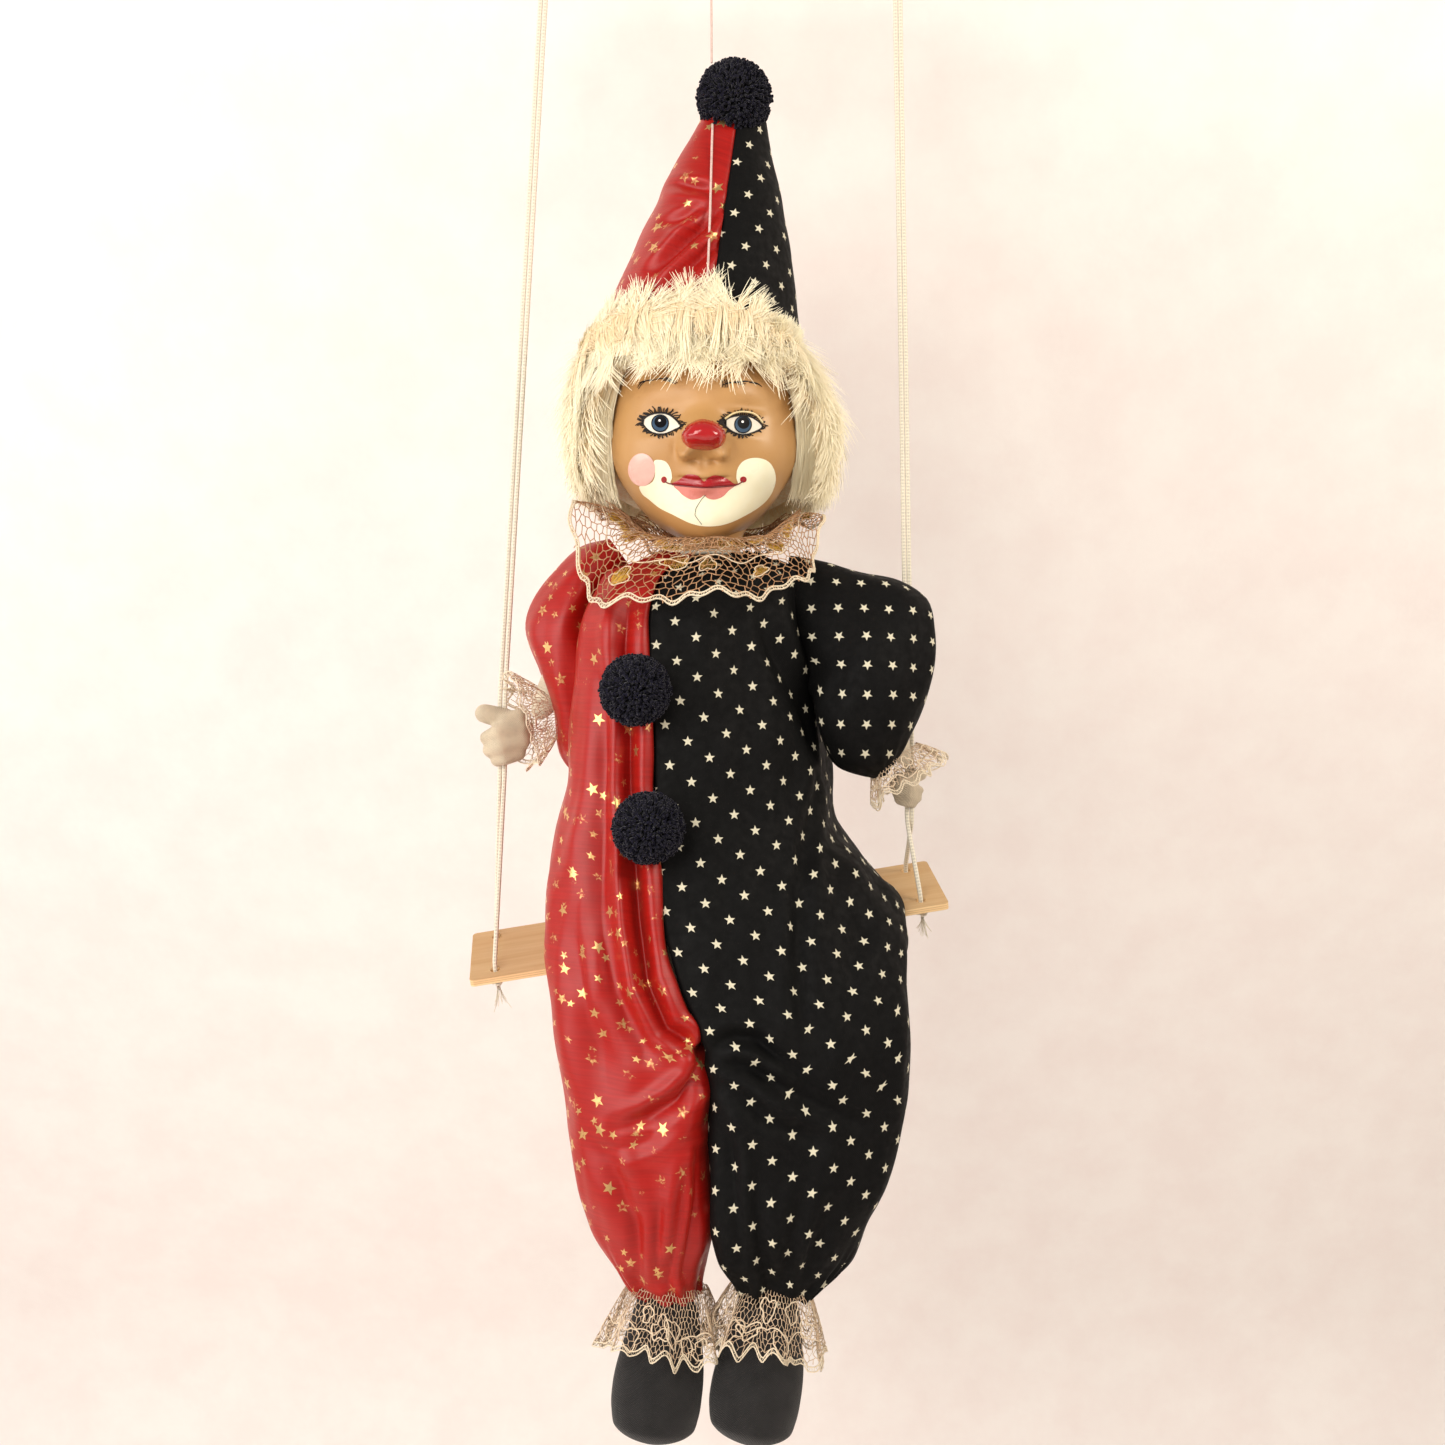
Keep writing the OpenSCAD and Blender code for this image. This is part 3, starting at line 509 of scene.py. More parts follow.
def porcelain():
    """Tan glaze with soft blushes, thin places and faint crazing."""
    f = Finish("porcelain_glaze")
    at = f.place()
    skin = np.array(hues().skin)
    soft = f.noise(at, 34.0, 3.0)
    tone = f.blend(f.between(soft, 0.3, 0.7), skin, skin * (0.9, 0.82, 0.74))
    speck = f.between(f.noise(at, 520.0, 2.0), 0.62, 0.75)
    crack = f.node("ShaderNodeTexVoronoi", {"feature": "DISTANCE_TO_EDGE"}, {"Vector": at, "Scale": 110.0})
    crazed = f.between(crack, 0.0, 0.012, 0.25, 0.0) * f.between(f.noise(at, 16.0), 0.52, 0.66)
    tone = f.blend(speck * 0.25, tone, skin * (0.8, 0.68, 0.56))
    return f.done(
        Base_Color=f.blend(crazed, tone, skin * (0.5, 0.4, 0.32)),
        Roughness=f.between(soft, 0.3, 0.7, 0.42, 0.54),
        Coat_Weight=0.12,
        Coat_Roughness=0.25,
        Normal=f.bump(f.noise(at, 240.0, 3.0), 0.12, 0.2),
    )


def red_satin():
    """Red satin with worn gold foil stars of two sizes."""
    f = Finish("red_satin_foil_stars")
    u, v = f.cloth()
    at = f.place()
    red = np.array(hues().red_cloth)
    gold = np.array(hues().foil)
    pitch = mm("foil_pitch")
    foil = 0.0
    sizes_of_star = ((pitch, 3.0, 0.5, 3.0, 0.55), (pitch * 0.83, 2.0, -0.4, 11.0, 0.5))
    for cell, reach, turn, seed, share in sizes_of_star:
        c, s = math.cos(turn), math.sin(turn)
        p, q = (u * (c / cell) + v * (s / cell) + seed), (v * (c / cell) - u * (s / cell) + seed)
        spot = f.node("ShaderNodeCombineXYZ", inputs={0: p.maths("FLOOR"), 1: q.maths("FLOOR"), 2: seed})
        dice = f.node("ShaderNodeTexWhiteNoise", {"noise_dimensions": "3D"}, {"Vector": spot}, 1)
        rx, ry, rz = (f.node("ShaderNodeSeparateColor", inputs={0: dice}, output=k) for k in range(3))
        x = (p.maths("FRACT") - 0.5 - (rx - 0.5) * 0.42) * cell
        y = (q.maths("FRACT") - 0.5 - (ry - 0.5) * 0.42) * cell
        sway = (rz - 0.5) * 1.6
        cs, sn = sway.maths("COSINE"), sway.maths("SINE")
        far = star_reach(x * cs + y * sn, y * cs - x * sn)
        mask = f.between(far, reach * 0.92, reach * 1.04, 1.0, 0.0) * (rx < share)
        worn = f.between(f.noise(at, 700.0, 2.0) + (ry - 0.5) * 0.5, 0.3, 0.62)
        foil = mask * worn + foil
    foil = foil.maths("MINIMUM", 1.0)
    slub = f.noise(f.node("ShaderNodeCombineXYZ", inputs={0: u * 0.05, 1: v * 0.9}), 1.0, 2.0)
    tone = f.blend(f.between(slub, 0.3, 0.7), red, red * (0.78, 0.6, 0.6))
    drape = f.noise(at, 26.0, 2.0) + weave(u, v, 0.7) * 0.02
    return f.done(
        Base_Color=f.blend(foil, tone, gold),
        Metallic=foil * 0.85,
        Roughness=0.4 - foil * 0.12,
        Sheen_Weight=0.16,
        Sheen_Roughness=0.4,
        Sheen_Tint=(1.0, 0.3, 0.2, 1.0),
        Specular_IOR_Level=0.42,
        Normal=f.bump(drape, 0.35, 2.2),
    )


def black_print(turn):
    """Black cloth printed with a lattice of cream stars, cut at an angle to the weave's own line."""
    f = Finish(f"black_star_print_{round(math.degrees(turn)) % 90}")
    u, v = f.cloth()
    at = f.place()
    black = np.array(hues().black_cloth)
    cream = np.array(hues().star)
    wide, tall = mm("star_pitch"), mm("star_pitch") * 1.12
    c, s = math.cos(turn), math.sin(turn)
    p, q = u * c + v * s, v * c - u * s
    x = ((p / wide).maths("FRACT") - 0.5) * wide
    y = ((q / tall).maths("FRACT") - 0.5) * tall
    reach = mm("star")
    mask = f.between(star_reach(x, y), reach * 0.93, reach * 1.03, 1.0, 0.0)
    worn = f.between(f.noise(at, 900.0, 2.0), 0.22, 0.42, 0.72, 1.0)
    tone = f.blend(f.between(f.noise(at, 60.0, 3.0), 0.3, 0.7), black, black * 1.3)
    thread = weave(u, v, 0.9) * 0.03
    return f.done(
        Base_Color=f.blend(mask * worn, tone, cream),
        Roughness=f.between(f.noise(at, 300.0), 0.3, 0.7, 0.62, 0.8),
        Specular_IOR_Level=0.14,
        Normal=f.bump(f.noise(at, 24.0, 2.0) + thread, 0.3, 2.0),
    )


def plain_cloth(name, hue, pitch, rough, sheen):
    """Matt woven cloth on an object's own coordinates."""
    f = Finish(name)
    at = f.place()
    x, y, z = f.split(at)
    hue = np.array(hue)
    threads = weave(x * 1000.0 + y * 600.0, z * 1000.0, pitch)
    patch = f.noise(at, 120.0, 4.0, 0.6)
    return f.done(
        Base_Color=f.blend(f.between(patch, 0.3, 0.7), hue, hue * 0.74),
        Roughness=f.between(patch, 0.3, 0.7, rough, min(1.0, rough + 0.12)),
        Sheen_Weight=sheen,
        Sheen_Roughness=0.5,
        Specular_IOR_Level=0.25,
        Normal=f.bump(threads * 0.5 + f.noise(at, 600.0, 2.0) * 0.5, 0.45, 0.5),
    )


def fur():
    """Plush strands, deeper at the root with painted shade between the strands, and paler at the tip."""
    f = Finish("wig_plush")
    along = f.attribute("along")
    shade = f.attribute("shade")
    tip, root = np.array(hues().hair), np.array(hues().hair_root_shade)
    # The root end and low shade values take more of the deeper cream, which is painted shade.
    share = f.between(along + shade * 0.5, 0.1, 0.95)
    return f.done(
        Base_Color=f.blend(share, root, tip),
        Roughness=f.between(shade, 0.0, 1.0, 0.55, 0.75),
        Sheen_Weight=0.9,
        Sheen_Roughness=0.45,
        Sheen_Tint=(1.0, 0.95, 0.84, 1.0),
        Specular_IOR_Level=0.3,
    )


def fur_ground():
    """Plush under the strands."""
    f = Finish("wig_ground")
    at = f.place()
    tip, root = np.array(hues().hair), np.array(hues().hair_root_shade)
    # The ground mixes the roots' deeper cream, which is painted shade, into random patches.
    lie = f.noise(f.scaled(at, 900.0, 900.0, 120.0), 1.0, 3.0)
    return f.done(
        Base_Color=f.blend(f.between(lie, 0.3, 0.7), root, tip),
        Roughness=0.85,
        Sheen_Weight=0.9,
        Sheen_Roughness=0.45,
        Sheen_Tint=(1.0, 0.95, 0.84, 1.0),
        Normal=f.bump(lie, 0.35, 0.6),
    )


def yarn():
    f = Finish("pompom_yarn")
    at = f.place()
    hue = np.array(hues().yarn)
    ply = f.noise(at, 900.0, 3.0)
    return f.done(
        Base_Color=f.blend(f.between(ply, 0.35, 0.7), hue, hue * 2.2),
        Roughness=0.95,
        Sheen_Weight=0.15,
        Specular_IOR_Level=0.1,
        Normal=f.bump(ply, 0.6, 0.4),
    )


def thread(name, hue, metal=0.0, rough=0.75):
    """Fine thread, plain or gold."""
    f = Finish(name)
    at = f.place()
    hue = np.array(hue)
    ply = f.noise(at, 800.0, 2.0)
    return f.done(
        Base_Color=f.blend(f.between(ply, 0.35, 0.7), hue, hue * 0.8),
        Roughness=f.between(ply, 0.3, 0.7, rough - 0.1, rough + 0.1),
        Metallic=metal,
    )


def lace_thread():
    """Lace thread, tan in the net and cream in the border; the net's tan is partly the lace's own tone and
    partly painted shade.
    """
    f = Finish("lace_thread")
    shade = f.attribute("shade")
    ply = f.noise(f.place(), 800.0, 2.0)
    tone = f.blend(f.between(shade + ply * 0.3, 0.15, 1.15), hues().lace_net_tan_and_shade, hues().lace)
    return f.done(Base_Color=tone, Roughness=f.between(ply, 0.3, 0.7, 0.65, 0.85))


def braided():
    """Braided cord whose strands cross round it."""
    f = Finish("braided_cord")
    u, v = f.cloth()
    hue = np.array(hues().cord)
    cross = ((u * 2.0 + v * 2.2).maths("SINE") * (u * 2.0 - v * 2.2).maths("SINE")) * 0.5 + 0.5
    return f.done(
        Base_Color=f.blend(f.between(cross, 0.2, 0.6), hue * 0.72, hue),
        Roughness=0.85,
        Sheen_Weight=0.2,
        Normal=f.bump(cross, 0.7, 0.35),
    )


def timber(name, at_place, turn, plies):
    """Pale wood with grain along its length, and glue lines where plies is more than 1."""
    f = Finish(name)
    local = f.node(
        "ShaderNodeMapping",
        {"vector_type": "TEXTURE"},
        {0: f.place(), 1: tuple(np.asarray(at_place) * MM), 2: tuple(math.radians(a) for a in turn)},
    )
    pale, dark = np.array(hues().wood), np.array(hues().wood_dark)
    grain = f.noise(f.scaled(local, 14.0, 240.0, 420.0), 1.0, 4.0, 0.62)
    fine = f.noise(f.scaled(local, 60.0, 1500.0, 1500.0), 1.0, 2.0)
    tone = f.blend(f.between(grain, 0.36, 0.72), pale, mix(pale, dark, 0.6))
    tone = f.blend(f.between(fine, 0.6, 0.75) * 0.35, tone, dark)
    if plies > 1:
        z = f.split(local)[2] * (plies / 3.0 * 1000.0) + 0.5 * plies
        odd = abs(z.maths("FRACT") - 0.5)
        shown = f.between(abs(z - 0.5 * plies), 0.0, 0.48 * plies, 0.9, 0.6)
        tone = f.blend(f.between(odd, 0.4, 0.46) * shown, tone, dark * 0.6)
    soiled = f.between(f.noise(local, 22.0, 3.0), 0.5, 0.75, 0.0, 0.3)
    return f.done(
        Base_Color=f.blend(soiled, tone, dark * (0.9, 0.85, 0.8)),
        Roughness=f.between(grain, 0.3, 0.7, 0.55, 0.72),
        Specular_IOR_Level=0.35,
        Normal=f.bump(grain + fine * 0.4, 0.25, 0.3),
    )


FINISHES = {}


def finish(name):
    """The named finish, made once."""
    if name not in FINISHES:
        h = hues()
        deep_white = np.array(h.mouth_white) * (0.97, 0.94, 0.86)
        deep_iris = np.array(h.iris) * 0.55
        dull = {"coat": 0.0, "shine": 0.1}
        makers = {
            "porcelain": porcelain,
            "nose": lambda: enamel("nose_enamel", h.nose, 0.12, coat=0.6),
            "lip_red": lambda: enamel("lip_enamel_red", h.lip_red, 0.2),
            "lip_line": lambda: enamel("lip_enamel_line", np.array(h.lip_red) * 0.45, 0.25),
            "lip_pink": lambda: enamel("lip_enamel_pink", h.lip_pink, 0.2),
            "cheek": lambda: enamel("cheek_enamel", h.cheek, 0.22),
            "mouth_white": lambda: enamel("mouth_enamel", h.mouth_white, 0.26, second=deep_white),
            "eye_white": lambda: enamel("eye_enamel_white", srgb(240, 232, 214), 0.4, coat=0.0, shine=0.15),
            "iris": lambda: enamel("eye_enamel_iris", h.iris, 0.4, second=deep_iris, **dull),
            "pupil": lambda: enamel("eye_enamel_pupil", srgb(10, 10, 14), 0.4, **dull),
            # The glint is a painted highlight on the eye.
            "glint": lambda: enamel("eye_painted_glint", srgb(250, 250, 248), 0.2),
            # The lid finish is a painted highlight along the left upper lid.
            "lid": lambda: enamel("eye_lid_painted_highlight", srgb(236, 214, 160), 0.25),
            "ink": lambda: enamel("brow_ink", h.ink, 0.5, coat=0.0),
            "red_satin": red_satin,
            "black_body": lambda: black_print(math.radians(38)),
            "black_sleeve": lambda: black_print(0.0),
            "shoe": lambda: plain_cloth("shoe_cloth", h.shoe, 0.9, 0.88, 0.15),
            "hand": lambda: plain_cloth("hand_cloth", h.hand, 1.1, 0.9, 0.2),
            "calico": lambda: plain_cloth("calico", h.calico, 1.2, 0.9, 0.2),
            "fur": fur,
            "fur_ground": fur_ground,
            "yarn": yarn,
            "lace": lace_thread,
            "lurex": lambda: thread("lace_gold", h.lurex, 0.2, 0.34),
            "thread": lambda: thread("head_thread", srgb(226, 196, 186)),
            "cord": braided,
            "cord_end": lambda: thread("cord_fray", h.cord),
            "bar": lambda: timber("bar_wood", (0, 0, 0), (0, 0, 0), 1),
            "plywood": lambda: timber("seat_plywood", SEAT_C, SEAT_TURN, 3),
        }
        FINISHES[name] = makers[name]()
    return FINISHES[name]


# Geometry Nodes trees


class Shaper(Nodes):
    """A Geometry Nodes tree under construction, with named inputs."""

    def __init__(self, name, **inputs):
        self.group = bpy.data.node_groups.new(name, "GeometryNodeTree")
        super().__init__(self.group)
        face = self.group.interface
        face.new_socket("Geometry", in_out="INPUT", socket_type="NodeSocketGeometry")
        for label, (kind, default) in inputs.items():
            socket = face.new_socket(label, in_out="INPUT", socket_type=f"NodeSocket{kind}")
            if default is not None:
                socket.default_value = default
        face.new_socket("Geometry", in_out="OUTPUT", socket_type="NodeSocketGeometry")
        self.source = self.nodes.new("NodeGroupInput")

    def input(self, name):
        return Value(self, self.source.outputs[name])

    def done(self, geometry):
        real = self.node("GeometryNodeRealizeInstances", inputs={0: geometry})
        smooth = self.node("GeometryNodeSetShadeSmooth", inputs={"Geometry": real})
        covered = self.node(
            "GeometryNodeSetMaterial", inputs={"Geometry": smooth, "Material": self.input("Finish")}
        )
        self.feed(self.nodes.new("NodeGroupOutput"), {0: covered})
        return self.group


TREES = {}


def sweep_tree(flat):
    """Turns guide lines into threads: round tubes, or flat strands of hair."""
    name = "hair_strands" if flat else "thread_tubes"
    if name not in TREES:
        t = Shaper(name, Radius=("Float", 0.0002), Sides=("Int", 3), Finish=("Material", None))
        if flat:
            far = t.node("ShaderNodeCombineXYZ", inputs={1: t.input("Radius")})
            near = t.node("ShaderNodeCombineXYZ", inputs={1: t.input("Radius") * -1.0})
            profile = t.node("GeometryNodeCurvePrimitiveLine", inputs={"Start": near, "End": far})
        else:
            profile = t.node(
                "GeometryNodeCurvePrimitiveCircle",
                inputs={"Resolution": t.input("Sides"), 4: t.input("Radius")},
            )
        lines = t.node("GeometryNodeMeshToCurve", inputs={0: t.input("Geometry")})
        if flat:
            out = t.node("GeometryNodeInputNamedAttribute", {"data_type": "FLOAT_VECTOR"}, {"Name": "out"})
            lines = t.node("GeometryNodeSetCurveNormal", {"mode": "FREE"}, {"Curve": lines, "Normal": out})
        thick = t.node("GeometryNodeInputNamedAttribute", {"data_type": "FLOAT"}, {"Name": "thick"})
        swept = t.node(
            "GeometryNodeCurveToMesh", inputs={"Curve": lines, "Profile Curve": profile, "Scale": thick}
        )
        TREES[name] = t.done(swept)
    return TREES[name]


def yarn_tree():
    """Covers a ball with short ends of yarn that stand on it, each tipped a little its own way."""
    if "yarn_ball" not in TREES:
        t = Shaper(
            "yarn_ball",
            Density=("Float", 1e6),
            Length=("Float", 0.006),
            Thickness=("Float", 0.0005),
            Finish=("Material", None),
        )
        ball = t.input("Geometry")
        spots = t.node(
            "GeometryNodeDistributePointsOnFaces",
            inputs={"Mesh": ball, "Density": t.input("Density"), "Seed": 5},
        )
        normal = Value(t, spots.socket.node.outputs["Normal"])
        tip = t.node("ShaderNodeCombineXYZ", inputs={2: t.input("Length")})
        bend = t.node(
            "ShaderNodeCombineXYZ", inputs={0: t.input("Length") * 0.12, 2: t.input("Length") * 0.55}
        )
        end = t.node(
            "GeometryNodeCurveQuadraticBezier",
            inputs={"Resolution": 3, "Start": (0, 0, 0), "Middle": bend, "End": tip},
        )
        ring = t.node(
            "GeometryNodeCurvePrimitiveCircle", inputs={"Resolution": 4, 4: t.input("Thickness")}
        )
        strand = t.node(
            "GeometryNodeCurveToMesh",
            inputs={"Curve": end, "Profile Curve": ring, "Scale": 1.0, "Fill Caps": True},
        )
        upright = t.node("FunctionNodeAlignRotationToVector", {"axis": "Z"}, {"Vector": normal})
        sway = t.node(
            "FunctionNodeRandomValue",
            {"data_type": "FLOAT_VECTOR"},
            {"Min": (-0.42, -0.42, -3.1), "Max": (0.42, 0.42, 3.1), "Seed": 2},
        )
        tipped = t.node(
            "FunctionNodeRotateRotation",
            {"rotation_space": "LOCAL"},
            {"Rotation": upright, "Rotate By": t.node("FunctionNodeEulerToRotation", inputs={0: sway})},
        )
        size = t.node("FunctionNodeRandomValue", {"data_type": "FLOAT"}, {2: 0.8, 3: 1.1, "Seed": 9}, 1)
        ends = t.node(
            "GeometryNodeInstanceOnPoints",
            inputs={"Points": spots, "Instance": strand, "Rotation": tipped, "Scale": size},
        )
        both = t.node("GeometryNodeJoinGeometry", inputs={0: ball})
        t.links.new(ends.socket, both.socket.node.inputs[0])
        TREES["yarn_ball"] = t.done(both)
    return TREES["yarn_ball"]


def shaped(piece, tree, **inputs):
    """The piece with a tree's result made part of its mesh."""
    step = piece.modifiers.new(tree.name, "NODES")
    step.node_group = tree
    for item in tree.interface.items_tree:
        if item.in_out == "INPUT" and item.name in inputs:
            step[item.identifier] = inputs[item.name]
    return settled(piece)


def threads(name, lines, radius, cover, sides=3, away_from=None, thick=1.0, shade=0.5):
    """Threads along guide lines in millimetres, flat and faced away from a place where one is given.

    thick and shade are one number, or one for each line.
    """
    counts = np.array([len(line) for line in lines])
    points = np.concatenate(lines)
    first = np.concatenate([[0], np.cumsum(counts)[:-1]])
    owner = np.repeat(np.arange(len(lines)), counts)
    along = (np.arange(len(points)) - first[owner]) / np.maximum(counts[owner] - 1, 1)
    joined = np.flatnonzero(owner[:-1] == owner[1:])
    piece = new_piece(name, points, [], cover, edges=np.stack([joined, joined + 1], 1).tolist())
    for key, value in {"thick": thick, "shade": shade, "along": along}.items():
        value = np.asarray(value, float)
        spread = value if value.shape == points.shape[:1] else np.broadcast_to(value, counts.shape)[owner]
        piece.data.attributes.new(key, "FLOAT", "POINT").data.foreach_set("value", spread.astype(np.float32))
    if away_from is not None:
        out = unit(points - away_from).astype(np.float32)
        piece.data.attributes.new("out", "FLOAT_VECTOR", "POINT").data.foreach_set("vector", out.ravel())
    return shaped(piece, sweep_tree(away_from is not None), Radius=radius * MM, Sides=sides, Finish=cover)


def joined_pieces(name, pieces):
    """Several pieces of one finish made one."""
    work = bmesh.new()
    for piece in pieces:
        work.from_mesh(piece.data)
    pieces[0].name = name
    pieces[0].data.name = name
    work.to_mesh(pieces[0].data)
    work.free()
    for piece in pieces[1:]:
        bpy.data.objects.remove(piece)
    return pieces[0]


# Stage, swing and strings


class MARIONETTE_OT_stage(bpy.types.Operator):
    """Camera, soft light and a pale wall that runs down to the floor"""

    bl_idname = "marionette.stage"
    bl_label = "Stage"

    def execute(self, context):
        scene = context.scene
        scene.view_settings.view_transform = "Standard"
        camera = bpy.data.objects.new("camera", bpy.data.cameras.new("camera"))
        camera.data.sensor_width = 36.0
        camera.data.lens = 40.5
        camera.location = CAMERA * MM
        camera.rotation_euler = (math.radians(90), 0, 0)
        context.collection.objects.link(camera)
        scene.camera = camera
        lamps = (
            ("key", (-430, -1150, 60), 640, 8.4, (1.0, 0.95, 0.88)),
            ("side", (850, -520, 160), 420, 6.5, (1.0, 0.9, 0.78)),
            ("fill", (-900, -600, -260), 800, 7.4, (1.0, 0.95, 0.92)),
        )
        for name, at, wide, watts, tint in lamps:
            lamp = bpy.data.objects.new(name, bpy.data.lights.new(name, "AREA"))
            lamp.data.size = wide * MM
            lamp.data.energy = watts
            lamp.data.color = tint
            lamp.location = np.array(at) * MM
            aim = Vector((0, 0, -0.33)) - lamp.location
            lamp.rotation_euler = aim.to_track_quat("-Z", "Y").to_euler()
            context.collection.objects.link(lamp)
        scene.world = bpy.data.worlds.new("room")
        scene.world.use_nodes = True
        room = next(n for n in scene.world.node_tree.nodes if n.type == "BACKGROUND")
        room.inputs["Color"].default_value = (*srgb(244, 238, 232), 1.0)
        room.inputs["Strength"].default_value = 0.4
        # The wall falls away behind the doll, clear of the swing at the end of its way back.
        lean, wide = math.radians(26), 2600
        (top_y, top_z), top_r = (364, 60), 260
        (foot_y, foot_z), foot_r = (285, -828), 200
        upper, lower = np.linspace(0, lean, 7), np.linspace(lean, -math.pi / 2, 13)
        profile = [(top_y - top_r, 900)]
        profile += [(top_y - top_r * math.cos(a), top_z - top_r * math.sin(a)) for a in upper]
        profile += [(foot_y + foot_r * math.cos(a), foot_z + foot_r * math.sin(a)) for a in lower]
        profile.append((-wide, foot_z - foot_r))
        grid = np.array([[(x, y, z) for x in np.linspace(wide, -wide, 9)] for y, z in profile])
        wall = new_piece("backdrop", grid, grid_faces(*grid.shape[:2]), self.paint())
        return {"FINISHED"}

    def paint(self):
        """Pale matt paint that is not seen from behind."""
        f = Finish("backdrop_paint")
        at = f.place()
        pale = np.array(hues().backdrop)
        soft = f.noise(at, 26.0, 4.0, 0.6)
        f.done(
            Base_Color=f.blend(f.between(soft, 0.35, 0.65), pale, pale * (0.97, 0.94, 0.94)),
            Roughness=0.95,
            Normal=f.bump(soft, 0.25, 4.0),
        )
        clear = f.node("ShaderNodeBsdfTransparent")
        behind = f.node("ShaderNodeNewGeometry", output="Backfacing")
        seen = f.node("ShaderNodeMixShader", inputs={0: behind, 1: Value(f, f.shader.outputs[0]), 2: clear})
        f.links.new(seen.socket, next(n for n in f.nodes if n.type == "OUTPUT_MATERIAL").inputs[0])
        return f.material


def turned(points, angles):
    """Points turned about X, then Y, then Z, in degrees."""
    points = np.asarray(points, float)
    for axis, angle in enumerate(angles):
        c, s = math.cos(math.radians(angle)), math.sin(math.radians(angle))
        i, j = ((1, 2), (2, 0), (0, 1))[axis]
        out = points.copy()
        out[..., i] = points[..., i] * c - points[..., j] * s
        out[..., j] = points[..., i] * s + points[..., j] * c
        points = out
    return points


def on_seat(p):
    return SEAT_C + turned(p, SEAT_TURN)


def box_mm(node):
    """Low and high corner of a solid, in millimetres."""
    return [np.array(corner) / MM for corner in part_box(node)]


HOLE_X, HOLE_Y = 93.5, 15.4


def strand_route(side, depth):
    """Middle line of one strand from the bar, through the fist, to its hole in the seat."""
    grip = GRIPS[RED if side < 0 else BLACK]
    out = np.array([side * depth * PAIR_HALF, 0, 0])
    hole = np.array([side * HOLE_X, depth * HOLE_Y, 0])
    return rounded(
        [
            np.array([side * CORD_X, 0, FLEX_Z]) + out,
            grip + (0, 0, 15) + out,
            grip - (0, 0, 15) + out,
            on_seat(hole + (0, 0, 3.5)),
            on_seat(hole - (0, 0, 3.42)),
        ],
        4.0,
    )


def strand(name, route, diameter, cover, sides):
    line = spaced(route, 1.6)
    grid, uv = tube_grid(line, diameter / 2, sides)
    return grid_piece(name, grid, finish(cover), uv, line.mean(0)), line


class MARIONETTE_OT_strings(bpy.types.Operator):
    """Two pairs of swing cords, the thread that holds the head and its end on the hat"""

    bl_idname = "marionette.strings"
    bl_label = "Strings"

    def execute(self, context):
        for side, name in zip((-1, 1), SIDES):
            for depth, place in ((-1, "front"), (1, "back")):
                node = f"{name}_{place}_cord"
                piece, line = strand(f"{node}_braid", strand_route(side, depth), mm("cord_d"), "cord", 12)
                self.declare(piece, line, "swing", "cord", node, sizes().cord_d)
        low = box_mm("head_thread")[0]
        run = [(THREAD_X, 0.0, FLEX_Z), (-4.0, -3.0, low[2] - 2.0)]
        piece, line = strand("head_thread_line", run, mm("thread_d"), "thread", 8)
        self.declare(piece, line, "swing", "thread", "head_thread", sizes().thread_d)
        marks = ((0.99, -31), (0.75, -16), (0.5, -7), (0.06, 1))
        run = [hat_point(t, math.radians(a), -1.1) for t, a in marks]
        piece, line = strand("hat_thread_line", rounded(run, 12), mm("thread_d"), "thread", 8)
        self.declare(piece, line, "turning_head", "thread", "hat_thread", sizes().thread_d)
        return {"FINISHED"}

    def declare(self, piece, line, body, slot, node, diameter):
        placed(piece, body, slot, node)
        float(run_of(line)[-1]) * MM


def hat_point(t, a, inward=0.0):
    """Point on the hat's plain cone, from its edge to its tip, at an angle from the front towards +X."""
    r = mix(HAT_R, HAT_TIP_R, t) + HAT_BELLY * np.sin(np.pi * t)
    r = r + HAT_RED_SIDE * ramp(np.sin(a), -0.1, -0.9) - inward
    return np.stack(
        np.broadcast_arrays(
            HEAD_C[0] + HAT_LEAN * t + r * np.sin(a), HEAD_C[1] - r * np.cos(a), HAT_EDGE_Z + HAT_H * t
        ),
        -1,
    )


def tied(centre, axis, size, cord_d):
    """Guide line of a small overhand knot round an axis."""
    t = np.linspace(0, 2 * math.pi, 49)
    r = (size - cord_d) / 2 / 3.0
    loop = [np.sin(t) + 2 * np.sin(2 * t), np.cos(t) - 2 * np.cos(2 * t), -1.25 * np.sin(3 * t)]
    z = unit(axis)
    x = unit(np.cross(z, [0.3, 1.0, 0.2]))
    return centre + (np.stack(loop, 1) * r) @ np.stack([x, np.cross(z, x), z])


